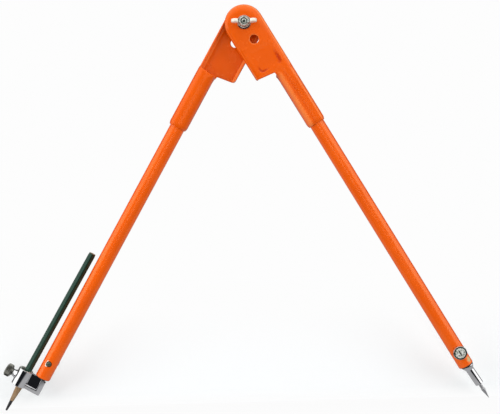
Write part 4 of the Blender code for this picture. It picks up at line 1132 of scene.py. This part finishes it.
def pivot_bolt():
    """Cup head at the rear, and a threaded end with a dimple at the front."""
    rear = -HALF_DEPTH - FIT_GAP
    base = HALF_DEPTH + WASHER[1] + SPRING_WASHER[1] + 3 * FIT_GAP
    end = base + NUT_HUB_HEIGHT - BOLT_END_DROP
    rows = [(rear - BOLT_HEAD_HEIGHT, 0)]
    for step in range(1, BOLT_HEAD_STEPS + 1):
        angle = math.pi / 2 * (1 - step / BOLT_HEAD_STEPS)
        rows.append((rear - BOLT_HEAD_HEIGHT * math.sin(angle), BOLT_HEAD_RADIUS * math.cos(angle)))
    rows += [(rear, BOLT_HEAD_RADIUS - BOLT_HEAD_EDGE), (rear, BOLT_RADIUS),
             (base - THREAD_RUNOUT, BOLT_RADIUS)]
    for turn in range(int((end - base + THREAD_LEAD) / THREAD_PITCH)):
        low = base - THREAD_LEAD + turn * THREAD_PITCH
        crest, root = [low + share * THREAD_PITCH for share in THREAD_CREST_SHARES]
        rows += [(crest, BOLT_RADIUS), (root, BOLT_RADIUS - THREAD_DEPTH)]
    floor_drop = end - BOLT_DIMPLE_DEPTH
    rows += [(end - BOLT_CHAMFER, BOLT_RADIUS), (end, BOLT_RADIUS - BOLT_CHAMFER), (end, BOLT_DIMPLE),
             (floor_drop, BOLT_DIMPLE - BOLT_DIMPLE_SLOPE), (floor_drop, 0)]
    bolt = new_object("pivot_bolt_turning", revolved(rows, 64), PIVOT_FRONT)
    for face in bolt.data.polygons:
        middle = PIVOT_FRONT.inverted() @ face.center
        on_end = middle.z > end - 2 * FACE_GAP and middle.xy.length > BOLT_DIMPLE
        face.material_index = 1 if on_end or middle.z < rear + 2 * FACE_GAP else 0
    dress(bolt, "pivot_bolt", [DARK_STEEL_AND_PAINTED_SHADE, CAST_FACE])


def pivot_washer(node, name, start, size, finish, split=False):
    """A washer with rounded outer edges, cut through on one side if it is the split one."""
    radius, thickness = size
    bore, edge, end = BOLT_RADIUS + WASHER_GAP, WASHER_EDGE, start + thickness
    curve = edge * WASHER_EDGE_SHARE
    rows = [(start, bore), (start, radius - edge), (start + curve, radius - curve), (start + edge, radius),
            (end - edge, radius), (end - curve, radius - curve), (end, radius - edge), (end, bore)]
    made = new_object(name, revolved(rows, 72, closed=True), PIVOT_FRONT)
    if split:
        gap = block((-SPLIT_HALF_WIDTH, -SPLIT_REACH, start - OVERRUN / 2),
                    (SPLIT_HALF_WIDTH, 0, end + OVERRUN / 2), SPLIT_BEVEL, 1)
        cut(made, gap, PIVOT_FRONT @ Matrix.Rotation(SPLIT_LEAN, 4, "Z"))
    dress(made, node, [finish])
    return end + FIT_GAP


pivot_bolt()
washer_end = pivot_washer("pivot_washer", "pivot_flat_washer", HALF_DEPTH + FIT_GAP, WASHER, ZINC)
pivot_washer("pivot_spring_washer", "pivot_split_washer", washer_end, SPRING_WASHER, SATIN_ZINC_AND_PAINTED_GLINT, split=True)

for node, finish in (("pivot_bush", ZINC), ("needle_leg_friction_washer", FIBRE),
                     ("pencil_leg_friction_washer", FIBRE), ("pencil_clamp_pad", ZINC)):
    for slot in frame["nodes"][node].material_slots:
        slot.material = finish


# Stage
def mixed(tree, factor, first, second):
    """Two shaders mixed by a factor."""
    return add(tree, "MixShader", factor, first, second).outputs["Shader"]


def calculated(tree, operation, *sources):
    """A number worked out from others."""
    return add(tree, "Math", *sources, operation=operation).outputs["Value"]


def plain(tree, kind, colour):
    """A light or background of one colour."""
    node = add(tree, kind)
    node.inputs["Color"].default_value = (*colour, 1.0)
    return node.outputs[kind]


def floor():
    """Pale floor that fades into the white round it, and mirrors as a grey table by a dark room."""
    work = bmesh.new()
    bmesh.ops.create_circle(work, cap_ends=True, segments=96, radius=FLOOR_RADIUS)
    made = new_object("studio_floor", work)
    finish, tree, shader, place = shader_nodes("pale_floor", (0.78, 0.78, 0.79), 0.8)
    reflective(shader, 0.0)
    path = add(tree, "LightPath")
    split = add(tree, "SeparateXYZ", place)
    table = blend_colours(tree, spread(tree, split.outputs["Y"], 0.0, 1.0, *TABLE_EDGE),
                          (0.0, (0.012, 0.013, 0.015)), (1.0, (0.42, 0.42, 0.43)))
    mirror = add(tree, "Emission", table).outputs["Emission"]
    bounce = add(tree, "Emission", strength=FLOOR_LIGHT).outputs["Emission"]
    lit = mixed(tree, path.outputs["Is Diffuse Ray"], mirror, bounce)
    distance = add(tree, "VectorMath", place, operation="LENGTH").outputs["Value"]
    fade = mixed(tree, spread(tree, distance, *FLOOR_WHITE_SHARES, *FLOOR_FADE), shader.outputs["BSDF"],
                 plain(tree, "Emission", WHITE))
    tree.links.new(mixed(tree, path.outputs["Is Camera Ray"], lit, fade),
                   tree.nodes["Material Output"].inputs["Surface"])
    made.data.materials.append(finish)


def backboard():
    """White board leaning just behind the feet, on which their shadows fall. From behind it is clear."""
    work = bmesh.new()
    foot = Vector((0, BOARD_BEHIND, 0))
    top = foot + BOARD_RISE * Vector((0, math.cos(BOARD_SLOPE), math.sin(BOARD_SLOPE)))
    corners = ((foot, -BOARD_SIDE), (foot, BOARD_SIDE), (top, BOARD_SIDE),
               (top, -BOARD_SIDE))
    work.faces.new([work.verts.new(end + Vector((side, 0, 0))) for end, side in corners])
    made = new_object("studio_backboard", work)
    finish, tree, shader, place = shader_nodes("white_board", (0.80, 0.83, 0.84), 0.8)
    reflective(shader, 0.0)
    split = add(tree, "SeparateXYZ", place)
    upwards = blend_colours(tree, spread(tree, split.outputs["Z"], 0.0, 1.0, 0.0, BOARD_FADE),
                            (0.0, WHITE), (0.12, BOARD_WHITE), (0.30, BOARD_WHITE), (1.0, WHITE))
    side_fade = [BOARD_SIDE * share for share in BOARD_SIDE_SHARES]
    aside = calculated(tree, "ABSOLUTE", split.outputs["X"])
    white_share = calculated(tree, "MAXIMUM", upwards, spread(tree, aside, 0.0, 1.0, *side_fade))
    fade = mixed(tree, white_share, shader.outputs["BSDF"], plain(tree, "Emission", WHITE))
    seen = calculated(tree, "SUBTRACT", add(tree, "LightPath").outputs["Is Camera Ray"],
                      add(tree, "NewGeometry").outputs["Backfacing"])
    clear = add(tree, "BsdfTransparent").outputs["BSDF"]
    tree.links.new(mixed(tree, seen, clear, fade), tree.nodes["Material Output"].inputs["Surface"])
    made.data.materials.append(finish)


def surroundings():
    """Soft white light all round, and for reflections white sides above a dark room and background."""
    world = bpy.data.worlds.new("studio")
    bpy.context.scene.world = world
    world.use_nodes = True
    world.cycles.sampling_method = "NONE"
    tree = world.node_tree
    path = add(tree, "LightPath")
    split = add(tree, "SeparateXYZ", add(tree, "TexCoord").outputs["Generated"])
    side = spread(tree, calculated(tree, "ABSOLUTE", split.outputs["X"]), 0.0, 1.0, *ROOM_SIDE)
    height = spread(tree, split.outputs["Z"], 0.0, 1.0, *ROOM_HEIGHT)
    front = spread(tree, split.outputs["Y"], 1.0, 0.05, *ROOM_FRONT)
    room = calculated(tree, "MULTIPLY", calculated(tree, "MAXIMUM", side, height), front)
    room = blend_colours(tree, room, (0.0, (0.014, 0.015, 0.017)), (1.0, (1.0, 1.0, 1.0)))
    mirrored = add(tree, "Background", room, strength=ROOM_LIGHT).outputs["Background"]
    soft = blend_colours(tree, spread(tree, split.outputs["Y"], 0.0, 1.0, *WORLD_SHADE),
                         (0.0, (1.0, 1.0, 1.0)), (1.0, (0.80, 0.80, 0.80)))
    background = tree.nodes["Background"]
    tree.links.new(soft, background.inputs["Color"])
    background.inputs["Strength"].default_value = WORLD_LIGHT
    reflected = mixed(tree, path.outputs["Is Glossy Ray"], background.outputs["Background"], mirrored)
    seen = plain(tree, "Background", WHITE)
    tree.links.new(mixed(tree, path.outputs["Is Camera Ray"], reflected, seen),
                   tree.nodes["World Output"].inputs["Surface"])


def softbox(name, place, aim, size, power):
    """A light without a mirror image of its own: the room round it is what shines."""
    light = bpy.data.lights.new(name, "AREA")
    light.shape = "RECTANGLE"
    light.size, light.size_y = size
    light.energy = power
    made = linked(name, light)
    made.location = place
    made.rotation_euler = (Vector((0, 0, aim)) - Vector(place)).to_track_quat("-Z", "Y").to_euler()
    made.visible_glossy = False


def camera():
    """The camera as it was fitted to the photograph."""
    data = bpy.data.cameras.new("camera")
    data.sensor_width = SENSOR_WIDTH
    data.lens = CAMERA_FOCAL_PIXELS * SENSOR_WIDTH / IMAGE_WIDTH_PIXELS
    made = linked("camera", data)
    made.matrix_world = (Matrix.Translation(PIVOT + Vector(CAMERA_FROM_PIVOT))
                         @ Matrix.Rotation(math.pi / 2, 4, "X")
                         @ Matrix.Rotation(math.radians(CAMERA_ROLL), 4, "Z"))
    bpy.context.scene.camera = made


floor()
backboard()
surroundings()
for box in SOFTBOXES:
    softbox(*box)
camera()
bpy.context.scene.view_settings.view_transform = "Standard"
